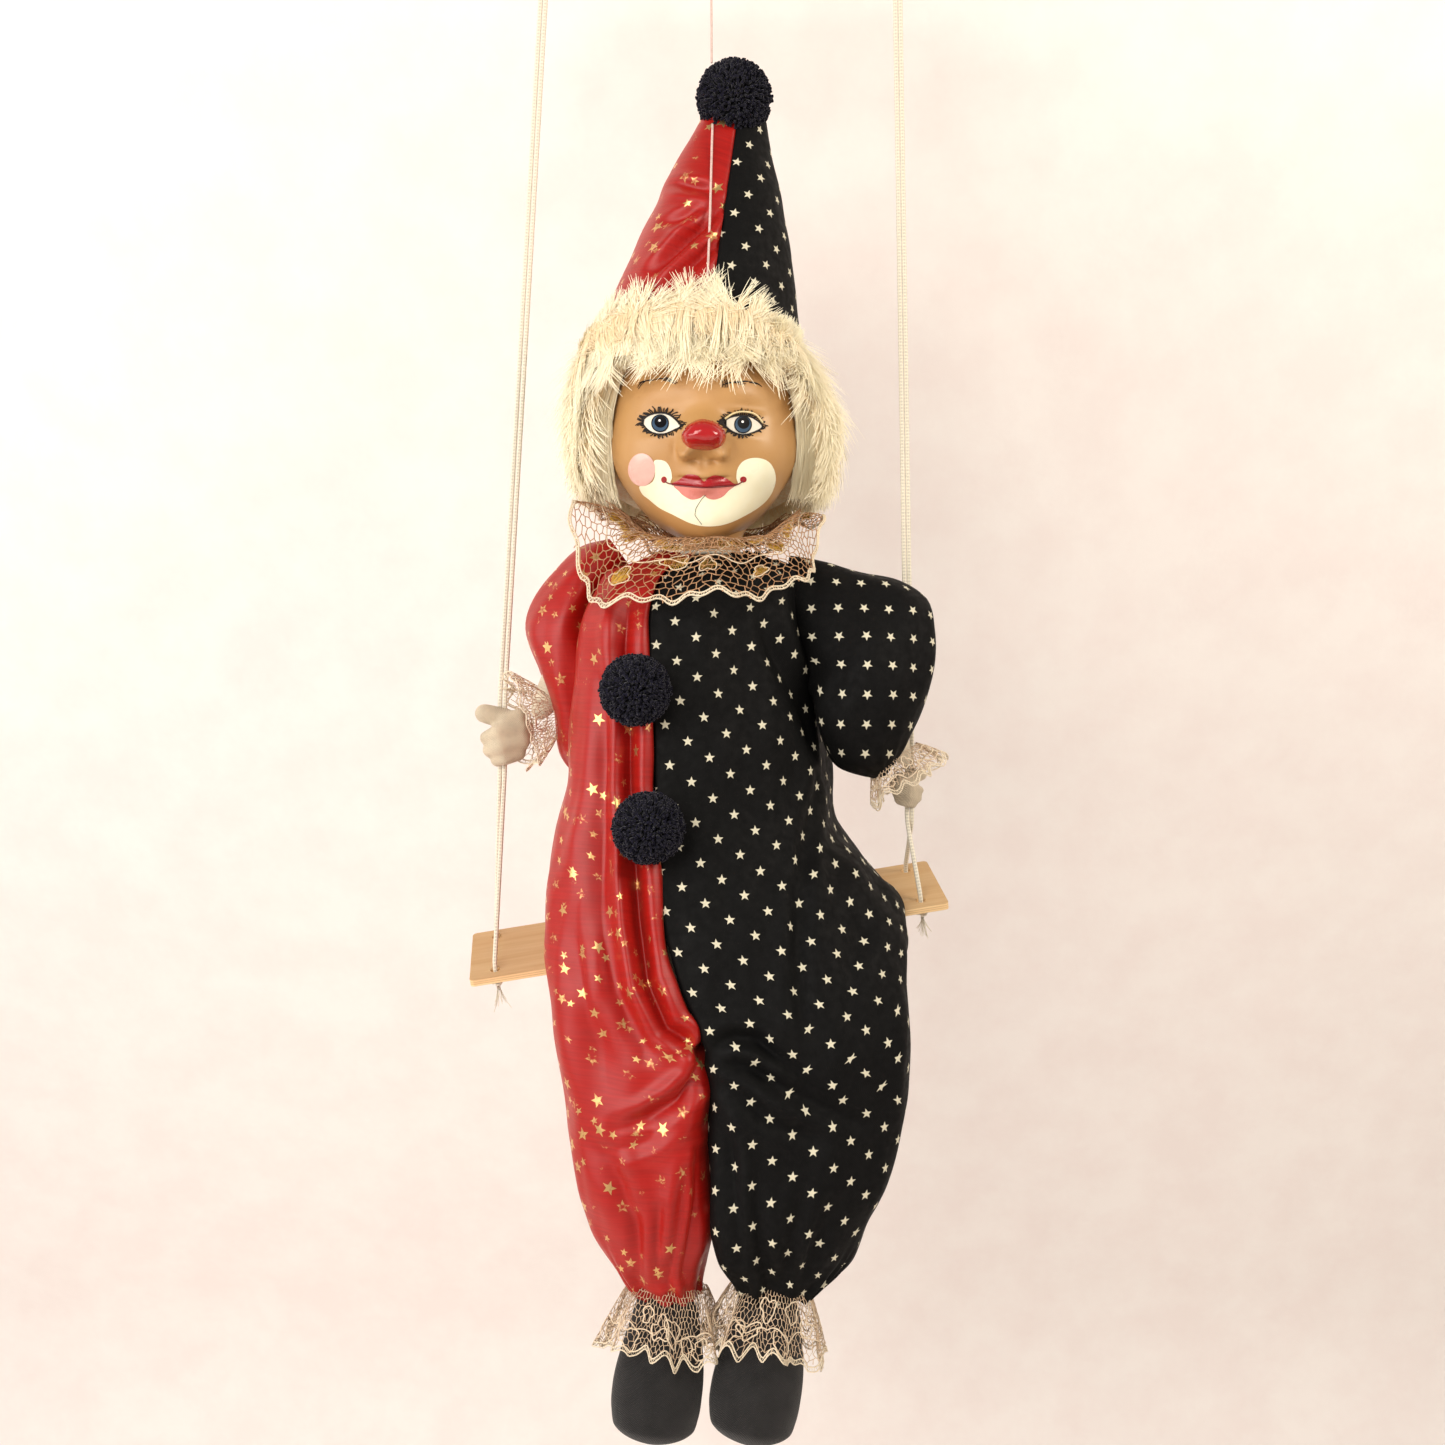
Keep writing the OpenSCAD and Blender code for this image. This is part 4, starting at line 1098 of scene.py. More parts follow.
class MARIONETTE_OT_knots(bpy.types.Operator):
    """Knots of the cords on the bar and under the seat, with frayed ends"""

    bl_idname = "marionette.knots"
    bl_label = "Knots"

    def execute(self, context):
        rng = np.random.default_rng(4)
        down = turned([0, 0, -1.0], SEAT_TURN)
        loops, frays = [], []
        for side in (-1, 1):
            for depth in (-1, 1):
                centre = on_seat([side * HOLE_X, depth * HOLE_Y, -3.9])
                loops.append(tied(centre, down, 6.0, 1.7))
                frays += self.fray(rng, centre + down * 2.0, down, 8.0, 16)
        knots = threads("seat_knot_loops", loops, 0.95, finish("cord_end"), sides=8)
        ends = threads("seat_knot_frays", frays, 0.16, finish("cord_end"))
        placed(joined_pieces("seat_knots_tied", [knots, ends]), "swing", "cord", "seat_knots")
        top = box_mm("hanger_bar")[1][2]
        loops, stubs = [], []
        for x, size, thick in ((-CORD_X, 7.4, 1.0), (CORD_X, 7.4, 1.0), (THREAD_X, 4.2, 0.5)):
            loops.append(tied(np.array([x, 0, top + size * 0.28]), [0, 0, 1], size, 2 * thick))
            for off in (-PAIR_HALF, PAIR_HALF) if thick > 0.6 else (0.0,):
                stub = [(x + off, 0, FLEX_Z + 0.35), (x + off, 0, 0), (x + off * 0.6, 0, top + 2)]
                stubs.append(np.array(stub))
        knots = threads("bar_knot_loops", loops, 1.0, finish("cord_end"), sides=8, thick=[1, 1, 0.5])
        ends = threads("bar_knot_stubs", stubs, 1.0, finish("cord_end"), sides=10, thick=[1, 1, 1, 1, 0.5])
        placed(joined_pieces("hanger_knots_tied", [knots, ends]), "hanger", "cord", "hanger_knots")
        return {"FINISHED"}

    def fray(self, rng, top, down, long, many):
        """Loose fibres that spread from a cut end."""
        s = np.linspace(0, 1, 5)[:, None]
        lines = []
        for _ in range(many):
            spread = rng.normal(0, 0.33, 3)
            reach = long * rng.uniform(0.6, 1.0)
            root = top + rng.normal(0, 0.35, 3)
            lines.append(root + s * down * reach + s**2 * (spread * reach + [0, 0, -1.0]))
        return lines


class MARIONETTE_OT_woodwork(bpy.types.Operator):
    """Wood of the hanger bar and plywood of the seat"""

    bl_idname = "marionette.woodwork"
    bl_label = "Woodwork"

    def execute(self, context):
        for node, cover in (("hanger_bar", "bar"), ("swing_seat", "plywood")):
            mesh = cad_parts[node].data
            mesh.materials.clear()
            mesh.materials.append(finish(cover))
        return {"FINISHED"}


# Stuffed body


def loft(name, rings, cover, sides=40, steps=60, ripple=None, open_top=False, upright=False):
    """Stuffed form through rings of [centre, direction, half width, half depth], smooth along its length.

    The pattern map follows the rings, or is laid on from the front where upright.
    """
    def closing(x):
        return np.sqrt(np.clip(1 - (1 - np.clip(x / 0.12, 0, 1)) ** 2, 0, 1))

    rings = [(np.array(c, float), unit(d), w, h) for c, d, w, h in rings]
    at = run_of([ring[0] for ring in rings])
    table = np.column_stack([at / at[-1], [[*c, *d, w, h] for c, d, w, h in rings]])
    t = 0.5 - 0.5 * np.cos(np.linspace(0, math.pi, steps))
    row = spline(table, t)
    centre, heading = row[:, None, :3], unit(row[:, None, 3:6])
    side = unit(np.cross([0.0, 1.0, 0.0], heading))
    front = np.cross(side, heading)
    a = np.linspace(0, 2 * math.pi, sides + 1)
    swell = (closing(1 - t) * (1.0 if open_top else closing(t)))[:, None]
    if ripple:
        swell = swell * (1 + ripple(t[:, None], a[None]))
    grid = centre + swell[..., None] * (
        row[:, 6, None, None] * np.cos(a)[None, :, None] * side
        + row[:, 7, None, None] * np.sin(a)[None, :, None] * front
    )
    around = (a[None] - math.pi) * row[:, 6:8].mean(1)[:, None]
    uv = np.stack(np.broadcast_arrays(around, run_of(row[:, :3])[:, None]), -1)
    if upright:
        run = round_of(grid)
        half, quarter = run[:, [sides // 2]], run[:, [sides // 4]]
        across = np.minimum(run, 2 * half - run) - quarter
        uv = np.stack([row[:, [0]] - across * side[..., 0], across * side[..., 2] - row[:, [2]]], -1)
    return grid_piece(name, grid, cover, uv)


class MARIONETTE_OT_stuffing(bpy.types.Operator):
    """Calico torso, limbs and the cord that ties the neck"""

    bl_idname = "marionette.stuffing"
    bl_label = "Stuffing"

    def execute(self, context):
        down = (0, 0, -1)
        rows = (
            (-262.2, 15.6), (-271, 16.5), (-280, 24), (-292, 33.5),
            (-320, 37.5), (-367, 39), (-410, 37), (-446, 28),
        )
        rings = [((-4, 7, z), down, r, r) for z, r in rows]
        torso = loft(
            "torso_calico", rings, finish("calico"), ripple=lambda t, a: -0.02 * hump(np.sin(a / 2), 0.05)
        )
        points = np.array([v.co for v in torso.data.vertices]) / MM
        up = turned([0, 0, 1.0], SEAT_TURN)
        under = np.minimum((points - on_seat([0, 0, 4.2])) @ up, 0)
        torso.data.vertices.foreach_set("co", ((points - under[:, None] * up) * MM).ravel())
        placed(torso, "swing", "stuffed_calico", "torso_stuffing")
        hips = np.array([[-30.0, -39.0, -428.2], [26.0, -39.0, -428.2]])
        shoulders = np.array([[-58.0, 8.0, -282.2], [44.0, 1.0, -283.2]])
        elbows = np.array([[-69.0, 1.0, -315.2], [64.0, -14.0, -326.2]])
        wrists = np.array([[-81.0, 8.0, -336.2], [80.8, 2.0, -356.2]])
        calf = ((-0.1, 13), (0.05, 15), (0.45, 15.5), (0.8, 12.5), (0.97, 11))
        for k, side in enumerate(SIDES):
            along = ANKLES[k] - hips[k]
            rings = [(hips[k] + along * s, along, r, r) for s, r in calf]
            leg = loft(f"{side}_leg_calico", rings, finish("calico"), sides=28, steps=40)
            placed(leg, None, "stuffed_calico", f"{side}_leg")
            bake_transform(leg)
            upper, fore = mix(shoulders[k], elbows[k], 0.5), mix(elbows[k], wrists[k], 0.5)
            line = np.array([shoulders[k], upper, elbows[k], fore, wrists[k]])
            heads = np.gradient(line, axis=0)
            rings = [(c, d, r, r) for c, d, r in zip(line, heads, (6.8, 7.4, 7.6, 6.0, 4.6))]
            arm = loft(f"{side}_arm_calico", rings, finish("calico"), sides=24, steps=40)
            placed(arm, ARMS[k], "stuffed_calico", f"{side}_arm")
        a = np.linspace(0, 2 * math.pi, 61)
        ring = NECK + (0, 0, -3) + np.stack([17.05 * np.cos(a), 17.05 * np.sin(a), 0.3 * np.sin(3 * a)], 1)
        tie = threads("neck_tie_cord", [ring], 1.1, finish("cord_end"), sides=10)
        placed(tie, "swing", "cord", "neck_tie")
        return {"FINISHED"}


# Head, face and wig


# Swellings of the head, alike on both sides: height in millimetres, then longitude and its width,
# latitude and its width, in degrees
SWELLINGS = (
    (13, 0, 9.5, -16, 8),
    (3.6, 9, 6, -25, 5),
    (4.5, 42, 22, -28, 18),
    (3, 72, 26, -26, 22),
    (3, 0, 15, -38, 7),
    (9, 0, 42, -62, 15),
    (-2.6, 25, 11, -8, 8),
    (1.2, 22, 16, 6, 8),
    (0.8, 24, 10, -3.5, 2.0),
    (0.5, 24, 9, -18, 2.2),
    (1.1, 0, 10, -36, 2.6),
    (1.4, 0, 8, -42, 3.0),
    (-0.7, 0, 2.2, -30.5, 3.4),
    (-0.9, 12.5, 3.5, -21, 3.0),
    (3.4, 10, 3.6, -25.5, 3.4),
    (-1.5, 16, 2.4, -25, 4.0),
    (-2.0, 6, 2.8, -30.5, 1.6),
    (4.0, 84, 6, -15, 10),
    (-1.4, 84, 2.5, -14, 5),
)


def towards(u, v):
    """Direction of longitude u, from the face towards +X, and latitude v, in degrees."""
    a, b = np.radians(u), np.radians(v)
    return np.stack(np.broadcast_arrays(np.cos(b) * np.sin(a), -np.cos(b) * np.cos(a), np.sin(b)), -1)


def head_r(u, v):
    """Radius of the head towards longitude u and latitude v."""
    side = abs(u)
    r = 1 / np.linalg.norm(towards(u, v) / HEAD_HALF, axis=-1)
    for height, at_side, wide, at_v, tall in SWELLINGS:
        r = r + height * hump(side - at_side, wide) * hump(v - at_v, tall)
    parting = ramp(side, 19, 13) * hump(v + 38.6, 1.1)
    return r - parting


def head_at(u, v, out=0.0):
    """Point of the head, or that far out from it."""
    return HEAD_C + (head_r(u, v) + out)[..., None] * towards(u, v)


def on_face(flat, lift):
    """Points of the face behind marks on a sheet just in front of it, given from the head's middle."""
    sheet_y = HEAD_C[1] - SHEET_OFF
    x, z = HEAD_C[0] + flat[..., 0], HEAD_C[2] + flat[..., 1]
    mark = np.stack([x, np.full(x.shape, sheet_y), z], -1)
    y = np.full(flat.shape[:-1], -40.0)
    for _ in range(40):
        far = (HEAD_C[1] + y - CAMERA[1]) / (sheet_y - CAMERA[1])
        x, z = (CAMERA[k] + (mark[..., k] - CAMERA[k]) * far - HEAD_C[k] for k in (0, 2))
        r = head_r(np.degrees(np.arctan2(x, -y)), np.degrees(np.arctan2(z, np.hypot(x, y)))) + lift
        y = mix(y, -np.sqrt(np.maximum(r * r - x * x - z * z, 9.0)), 0.6)
    return HEAD_C + np.stack([x, y, z], -1)


MARK, SHEET_LEFT, SHEET_TOP, SHEET_OFF = 0.0965, -58.56, 53.27, 38.0


def face_plane(marks):
    """Marks of the painter's sheet, in millimetres from the head's middle."""
    marks = np.asarray(marks, float)
    return np.stack([marks[..., 0] * MARK + SHEET_LEFT, SHEET_TOP - marks[..., 1] * MARK], -1)


def closed_curve(points, steps=6):
    """Smooth closed line through points."""
    p = np.asarray(points, float)
    before, after, next_two = np.roll(p, 1, 0), np.roll(p, -1, 0), np.roll(p, -2, 0)
    s = np.linspace(0, 1, steps, endpoint=False)[None, :, None]
    m, n = (after - before)[:, None] / 2, (next_two - p)[:, None] / 2
    return hermite(p[:, None], m, after[:, None], n, s).reshape(-1, 2)


def open_curve(points, steps):
    points = np.asarray(points, float)
    return spline(np.column_stack([np.linspace(0, 1, len(points)), points]), np.linspace(0, 1, steps))


def oval(centre, rx, ry, tilt=0.0):
    a = np.linspace(0, 2 * math.pi, 24, endpoint=False)
    x, y = rx * np.cos(a), ry * np.sin(a)
    c, s = math.cos(tilt), math.sin(tilt)
    return np.stack([centre[0] + x * c - y * s, centre[1] + x * s + y * c], 1)


def inside(points, outline):
    """Whether points of a plane are inside a closed outline."""
    x, y = points[:, None, 0], points[:, None, 1]
    a, b = outline[None], np.roll(outline, -1, 0)[None]
    over = (a[..., 1] > y) != (b[..., 1] > y)
    cut = a[..., 0] + (y - a[..., 1]) * (b[..., 0] - a[..., 0]) / np.where(over, b[..., 1] - a[..., 1], 1)
    return (over & (x < cut)).sum(1) % 2 == 1


def painted(name, outline, cover, lift, dome=0.0, button=False):
    """Patch of enamel inside an outline on the face, raised in its middle; a button has a flat base."""
    outline = face_plane(closed_curve(outline))
    low, high = outline.min(0), outline.max(0)
    step = max(0.45, (high - low).max() / 60)
    grid = np.stack(np.meshgrid(*(np.arange(low[k], high[k], step) for k in (0, 1))), -1).reshape(-1, 2)
    gap = np.linalg.norm(grid[:, None] - outline[None], axis=-1).min(1)
    points = np.concatenate([outline, grid[inside(grid, outline) & (gap > step * 0.5)]])
    n = len(outline)
    flat, _, faces, *_ = geometry.delaunay_2d_cdt(
        [Vector(p) for p in points], [(i, (i + 1) % n) for i in range(n)], [], 1, 1e-6
    )
    flat = np.array(flat)
    edge = np.linalg.norm(flat[:, None] - outline[None], axis=-1).min(1)
    raised = lift + dome * np.sqrt(np.clip(edge / max(edge.max(), 1e-6), 0, 1))
    points = on_face(flat, np.full(len(flat), lift) if button else raised)
    if button:
        rim = on_face(outline, np.full(n, lift))
        base = np.linalg.lstsq(np.column_stack([rim[:, [0, 2]], np.ones(n)]), rim[:, 1], rcond=None)[0]
        share = np.clip(edge / max(edge.max(), 1e-6), 0, 1)
        front = points[:, [0, 2]] @ base[:2] + base[2] + 1.0 - dome * np.sqrt(1 - (1 - share) ** 2)
        points[:, 1] = np.minimum(front, points[:, 1])
    piece = new_piece(name, points, faces, finish(cover))
    facing_out(piece, HEAD_C)
    return placed(piece, "turning_head", "porcelain")


PATCH = (
    (395, 800), (420, 793), (448, 803), (467, 835), (472, 870), (470, 895), (540, 905), (610, 908),
    (680, 905), (750, 898), (748, 870), (752, 835), (772, 803), (805, 787), (845, 785), (885, 800),
    (910, 835), (917, 880), (905, 925), (880, 965), (840, 1000), (790, 1030), (740, 1055), (690, 1072),
    (640, 1078), (590, 1075), (540, 1060), (480, 1030), (420, 1000), (370, 960), (345, 940), (332, 908),
    (360, 903), (390, 885), (400, 850),
)
UPPER_LIP = (
    (470, 895), (500, 880), (530, 858), (555, 855), (585, 862), (608, 885), (625, 872), (650, 860),
    (680, 862), (710, 875), (735, 893), (750, 900), (700, 905), (650, 907), (610, 910), (560, 905),
    (510, 900),
)
LOWER_LIP = (
    (480, 903), (540, 908), (610, 912), (680, 908), (740, 903), (715, 925), (690, 950), (655, 963),
    (625, 957), (610, 945), (590, 957), (555, 963), (520, 945), (500, 925),
)
NOSE = (
    (608, 618), (659, 632), (697, 670), (704, 704), (685, 732), (642, 750), (600, 752), (551, 742),
    (519, 718), (513, 687), (540, 643), (572, 624),
)
EYES = (
    (
        (348, 628), (375, 602), (420, 592), (465, 602), (507, 644), (480, 664), (440, 680), (400, 679),
        (365, 660),
    ),
    (
        (696, 632), (720, 612), (770, 603), (820, 614), (858, 648), (830, 670), (780, 684), (740, 674),
        (710, 654),
    ),
)
PUPILS = (((421, 636), 38), ((777, 641), 38))


class MARIONETTE_OT_head(bpy.types.Operator):
    """Porcelain head and neck with the painted face"""

    bl_idname = "marionette.head"
    bl_label = "Head"

    def execute(self, context):
        u = np.linspace(-180, 180, 261)
        v = [np.linspace(88, 20, 50)[:-1], np.linspace(20, -62, 150)[:-1], np.linspace(-62, -89, 24)]
        grid = head_at(u[None], np.concatenate(v)[:, None])
        head = grid_piece("porcelain_head_cast", grid, finish("porcelain"), centre=HEAD_C)
        low = box_mm("head")[0][2]
        rows = ((0, 12.4), (8, 12.4), (20, 12.6), (26, 13.6), (32, 17), (38, 22))
        a = np.linspace(0, 2 * math.pi, 65)
        ring = np.stack([np.cos(a), np.sin(a)], 1)
        neck = np.array([[(*(NECK[:2] + r * p), low + h) for p in ring] for h, r in rows])
        stem = grid_piece("porcelain_neck_cast", neck, finish("porcelain"))
        placed(joined_pieces("porcelain_head", [head, stem]), "turning_head", "porcelain", "head")
        self.paint()
        self.line_work()
        return {"FINISHED"}

    def paint(self):
        painted("mouth_patch", PATCH, "mouth_white", 0.14)
        painted("cheek_disc", oval((342, 835), 58, 70), "cheek", 0.22)
        painted("lower_lip", LOWER_LIP, "lip_pink", 0.24, 0.25)
        painted("upper_lip", UPPER_LIP, "lip_red", 0.28, 0.3)
        painted("right_mouth_dot", oval((438, 878), 12, 14), "lip_red", 0.28)
        painted("left_mouth_dot", oval((778, 877), 14, 13), "lip_red", 0.28)
        painted("nose_tip", NOSE, "nose", 0.2, 10.5, button=True)
        for k, side in enumerate(SIDES):
            (x, y), r = PUPILS[k]
            painted(f"{side}_eye_white", EYES[k], "eye_white", 0.16, 0.7)
            painted(f"{side}_iris_rim", oval((x, y), r, r), "pupil", 0.9, 0.25)
            painted(f"{side}_iris", oval((x, y), r * 0.88, r * 0.88), "iris", 1.0, 0.25)
            # The pupil is the eye's own paint. It is drawn large and high so that it also takes in painted
            # shade from the upper lid on the iris.
            painted(f"{side}_pupil", oval((x + 2, y - 7), r * 0.68, r * 0.68), "pupil", 1.2, 0.15)
            # The glint is a painted highlight: a white dot for a lamp's reflection on the glossy eye.
            painted(f"{side}_glint", oval((x - 2, y - 12), 5, 5), "glint", 1.4)

    def line_work(self):
        """Brows, lashes, lid lines, a painted highlight along the left upper lid, the mouth's corners and a
        hairline crack, as drawn lines.
        """
        rng = np.random.default_rng(8)
        ink, thick = [], []
        for outline in EYES:
            edge = closed_curve(outline, 14)
            centre = edge.mean(0)
            n = len(edge)
            order = np.argsort(np.arctan2(edge[:, 1] - centre[1], edge[:, 0] - centre[0]))
            edge = edge[order]
            upper = edge[edge[:, 1] < centre[1] + 4]
            upper = upper[np.argsort(upper[:, 0])]
            ink.append(self.drawn(upper, 0.3))
            thick.append(1.8)
            lower = edge[edge[:, 1] >= centre[1] + 4]
            ink.append(self.drawn(lower[np.argsort(lower[:, 0])], 0.3))
            thick.append(1.1)
            for p in edge[:: max(1, n // 46)]:
                away = p - centre
                away = away / np.hypot(*away)
                over = p[1] < centre[1]
                reach = rng.uniform(20, 34) if over else rng.uniform(10, 20)
                bend = np.array([-away[1], away[0]]) * rng.normal(0, 7)
                s = np.linspace(0, 1, 5)[:, None]
                ink.append(self.drawn(p + away * reach * s + bend * s**2, 0.34))
                thick.append(rng.uniform(0.8, 1.3))
        brows = (
            ((310, 505), (335, 465), (375, 450), (430, 442), (480, 455), (505, 475)),
            ((690, 470), (720, 462), (755, 460), (800, 458), (840, 468), (868, 490)),
        )
        for brow in brows:
            arc = open_curve(brow, 40)
            for _ in range(16):
                i = rng.integers(0, 30)
                stroke = arc[i : i + rng.integers(6, 11)] + rng.normal(0, 4.0, 2)
                ink.append(self.drawn(stroke, 0.25))
                thick.append(rng.uniform(0.5, 0.9))
        for x in (684, 695, 704):
            ink.append(self.drawn(open_curve(((x, 448), (x + 6, 462), (x + 4, 482)), 6), 0.25))
            thick.append(0.8)
        crack = ((640, 920), (600, 960), (575, 1000), (570, 1030), (600, 1070))
        ink.append(self.drawn(spaced_flat(crack, 6), 0.3))
        thick.append(0.45)
        lines = threads("brows_and_lashes", ink, 0.26, finish("ink"), thick=thick)
        placed(lines, "turning_head", "porcelain")
        # A cream line along the left upper lid: a painted highlight where light catches the lid.
        lid = self.drawn(open_curve(((697, 618), (735, 594), (780, 586), (830, 598), (862, 634)), 24), 0.5)
        placed(threads("left_lid_highlight", [lid], 0.45, finish("lid"), sides=6), "turning_head", "porcelain")
        corners = (((440, 884), (456, 893), (478, 898)), ((776, 884), (760, 895), (742, 900)))
        mouth = [self.drawn(open_curve(corner, 8), 0.3) for corner in corners]
        parting = ((472, 899), (540, 906), (610, 911), (680, 907), (748, 901))
        mouth.append(self.drawn(open_curve(parting, 24), 0.62))
        mouth = threads("mouth_line", mouth, 0.3, finish("lip_line"), sides=5)
        placed(mouth, "turning_head", "porcelain")

    def drawn(self, marks, lift):
        flat = face_plane(marks)
        return on_face(flat, np.full(len(flat), lift))


def spaced_flat(marks, step):
    marks = np.column_stack([np.asarray(marks, float), np.zeros(len(marks))])
    return spaced(marks, step)[:, :2]


def wig_edge(u):
    """Lowest latitude of the wig: short over the face and long at the sides and back."""
    return mix(FRINGE_V, SIDE_HAIR_V, ramp(abs(u), *FACE_SIDE)) - 7.0 * ramp(abs(u), 105, 150)


def hair_depth(u, v):
    """How far the hair stands off the head: higher up on the red side than on the black one."""
    full = np.where(u < 0, ramp(v, 60, 16), ramp(v, 46, -12))
    return mix(7.0, np.where(u < 0, 21.0, 20.0), ramp(abs(u), 46, 86) * full)


def hair_at(u, v, out):
    """Point in the hair: round the crown above the ears, and nearly straight down below them."""
    top = head_at(u, np.maximum(v, 0.0), out)
    fall = np.radians(np.minimum(v, 0.0))
    reach = top - HEAD_C
    draw = 1 - 0.16 * (fall / math.radians(36)) ** 2
    drop = np.stack([fall * 0, fall * 0, fall * 60.0], -1)
    return HEAD_C + reach * np.stack([draw, draw, np.ones_like(draw)], -1) + drop


class MARIONETTE_OT_wig(bpy.types.Operator):
    """Cream plush wig: a ground with strands combed down, and tufts in front of the hat"""

    bl_idname = "marionette.wig"
    bl_label = "Wig"

    def execute(self, context):
        u = np.linspace(-180, 180, 145)
        s = np.concatenate([np.linspace(0, 1, 40), [1.01]])
        thick = np.concatenate([np.full(38, 0.66), [0.62, 0.55, 0.42]])
        v = mix(84.0, wig_edge(u)[None] + 3.0, s[:, None])
        grid = hair_at(np.broadcast_to(u, v.shape), v, hair_depth(u[None], v) * thick[:, None] + 0.6)
        skin = head_at(u, wig_edge(u) - mix(-1.0, 6.0, ramp(abs(u), *FACE_SIDE)), 0.0)
        grid = np.concatenate([grid, [mix(grid[-1], skin, 0.5), skin]])
        ground = grid_piece("wig_ground", grid, finish("fur_ground"), centre=HEAD_C)
        a, s = np.linspace(-128, 74, 90), np.linspace(0, 1, 22)
        grid = self.over_hat(a[None], mix(-20.0, self.hair_top(a)[None], s[:, None]), -1.0)
        roll = grid_piece("wig_roll", grid, finish("fur_ground"), centre=HEAD_C + [0, 0, 25])
        placed(joined_pieces("wig_ground", [ground, roll]), "turning_head", "wig_fur", "wig")
        many, behind = sizes().hair_count, 42
        combed = [self.combed(np.random.default_rng(seed), many) for seed in (11, 12)]
        fronts = [lines[:, 3, 1] < HEAD_C[1] + 6 for lines, _ in combed]
        groups = [(lines[front], shade[front], behind) for front, (lines, shade) in zip(fronts, combed)]
        groups.append((*self.tufts(np.random.default_rng(21), many // 2), behind))
        backs = [(lines[~front], shade[~front]) for front, (lines, shade) in zip(fronts, combed)]
        groups.append((*(np.concatenate(part) for part in zip(*backs)), -behind))
        for k, (lines, shade, depth) in enumerate(groups):
            taper = np.broadcast_to([1.0, 1.1, 1.1, 1.0, 0.9, 0.7, 0.35], lines.shape[:2]).ravel()
            facing = {"away_from": HEAD_C + [0, depth, -22], "thick": taper, "shade": shade}
            strands = threads(f"wig_strands_{k + 1}", list(lines), mm("hair_t") / 2, finish("fur"), **facing)
            placed(strands, "turning_head", "wig_fur")
        return {"FINISHED"}

    def combed(self, rng, many):
        """Guide lines of strands that lie down over the head, drawn together in locks."""
        u, v = rng.uniform(-180, 180, many * 4), rng.uniform(-34, 52, many * 4)
        front = rng.uniform(size=many * 4) < np.where(abs(u) < 95, 1.0, 0.5)
        edging = self.beside_face(rng, many // 6)
        many = many - many // 6
        kept = np.flatnonzero((v > wig_edge(u) + 2.5) & front)[:many]
        u, v = u[kept], v[kept]
        locks = 420
        lu, lv = rng.uniform(-180, 180, locks), rng.uniform(-34, 52, locks)
        near = np.argmin(((u[:, None] - lu) * 0.8) ** 2 + (v[:, None] - lv) ** 2, axis=1)
        long = mm("hair") * rng.uniform(0.72, 1.08, many) * rng.uniform(0.9, 1.1, locks)[near]
        depth = rng.uniform(0.45, 1.0, many)
        lift = np.abs(rng.normal(0, 1.6, locks))[near] + np.abs(rng.normal(0, 1.2, many))
        at_side = hump(abs(u) - 92, 30)
        lift = lift + np.where(rng.uniform(size=many) < 0.07 + 0.14 * at_side, rng.uniform(2, 7, many), 0)
        drift = rng.normal(-2.0, 7.0, locks)[near] + rng.normal(0, 3.0, many)
        pull = rng.uniform(0.5, 0.95, many)
        end_v = v - np.degrees(long / 58.0)
        uneven = rng.normal(0, 2.4, locks)[near] * mix(1.4, 1.0, ramp(abs(u), 50, 80))
        floor = wig_edge(u) - mix(4.0, 5.0, ramp(abs(u), 60, 86)) + uneven + rng.normal(0, 1.6, many)
        end_v = np.maximum(end_v, floor)
        t = STRAND[None]
        to_lock = (lu[near] - u)[:, None] * pull[:, None]
        lines_u = u[:, None] + drift[:, None] * t**1.6 + to_lock * t**1.4 * 0.8
        lines_v = v[:, None] + (end_v - v)[:, None] * t
        layer = mix(depth[:, None] * 0.75, depth[:, None] * 0.42 + 0.5, t)
        out = hair_depth(lines_u, lines_v) * layer + lift[:, None] * t**1.5
        lines = hair_at(lines_u, lines_v, out + 0.8)
        shade = rng.uniform(-0.25, 0.5, locks)[near] + rng.uniform(-0.1, 0.5, many)
        return np.concatenate([lines, edging]), np.append(shade, rng.uniform(0.1, 0.9, len(edging)))

    def beside_face(self, rng, many):
        """Guide lines of strands that hang down along the wig's edge, on both sides of the face."""
        t = STRAND[None]
        side = rng.choice([-1.0, 1.0], many)[:, None]
        back = rng.uniform(-4, 9, many)[:, None]
        top = rng.uniform(-14, 24, many)
        low = np.maximum(top - rng.uniform(20, 34, many), np.minimum(rng.normal(-33, 2.5, many), top - 8))
        v = mix(top[:, None], low[:, None], t)
        edge = np.linspace(*FACE_SIDE, 57)
        u = np.interp(-v, -wig_edge(edge), edge) + back + rng.normal(0, 2.0, many)[:, None] * t
        off = mix(0.06, 0.85, (back + 4) / 13) * hair_depth(side * u, v)
        return hair_at(side * u, v, off + 0.6 + t * rng.uniform(0, 1.6, many)[:, None])

    def hair_top(self, a):
        """How far above the hat's edge the hair in front of it reaches, by angle from the front."""
        angles = [-130, -112, -92, -60, -30, 0, 18, 34, 50, 75]
        return np.interp(a, angles, [-18, -13, -7, 0, 2, 2, -1, -5, -9, -13])

    def over_hat(self, a, h, out):
        """Point of the hair that rolls over the hat's edge, by angle and height above the edge."""
        turn = np.radians(a)
        swell = 4.4 * hump(h + 6.0, 12.0) * ramp(a, 76, 34) * ramp(a, -128, -96) + out
        away = np.stack(np.broadcast_arrays(np.sin(turn), -np.cos(turn), 0.0 * h), -1)
        return hat_point(h / HAT_H, turn) + away * swell[..., None]

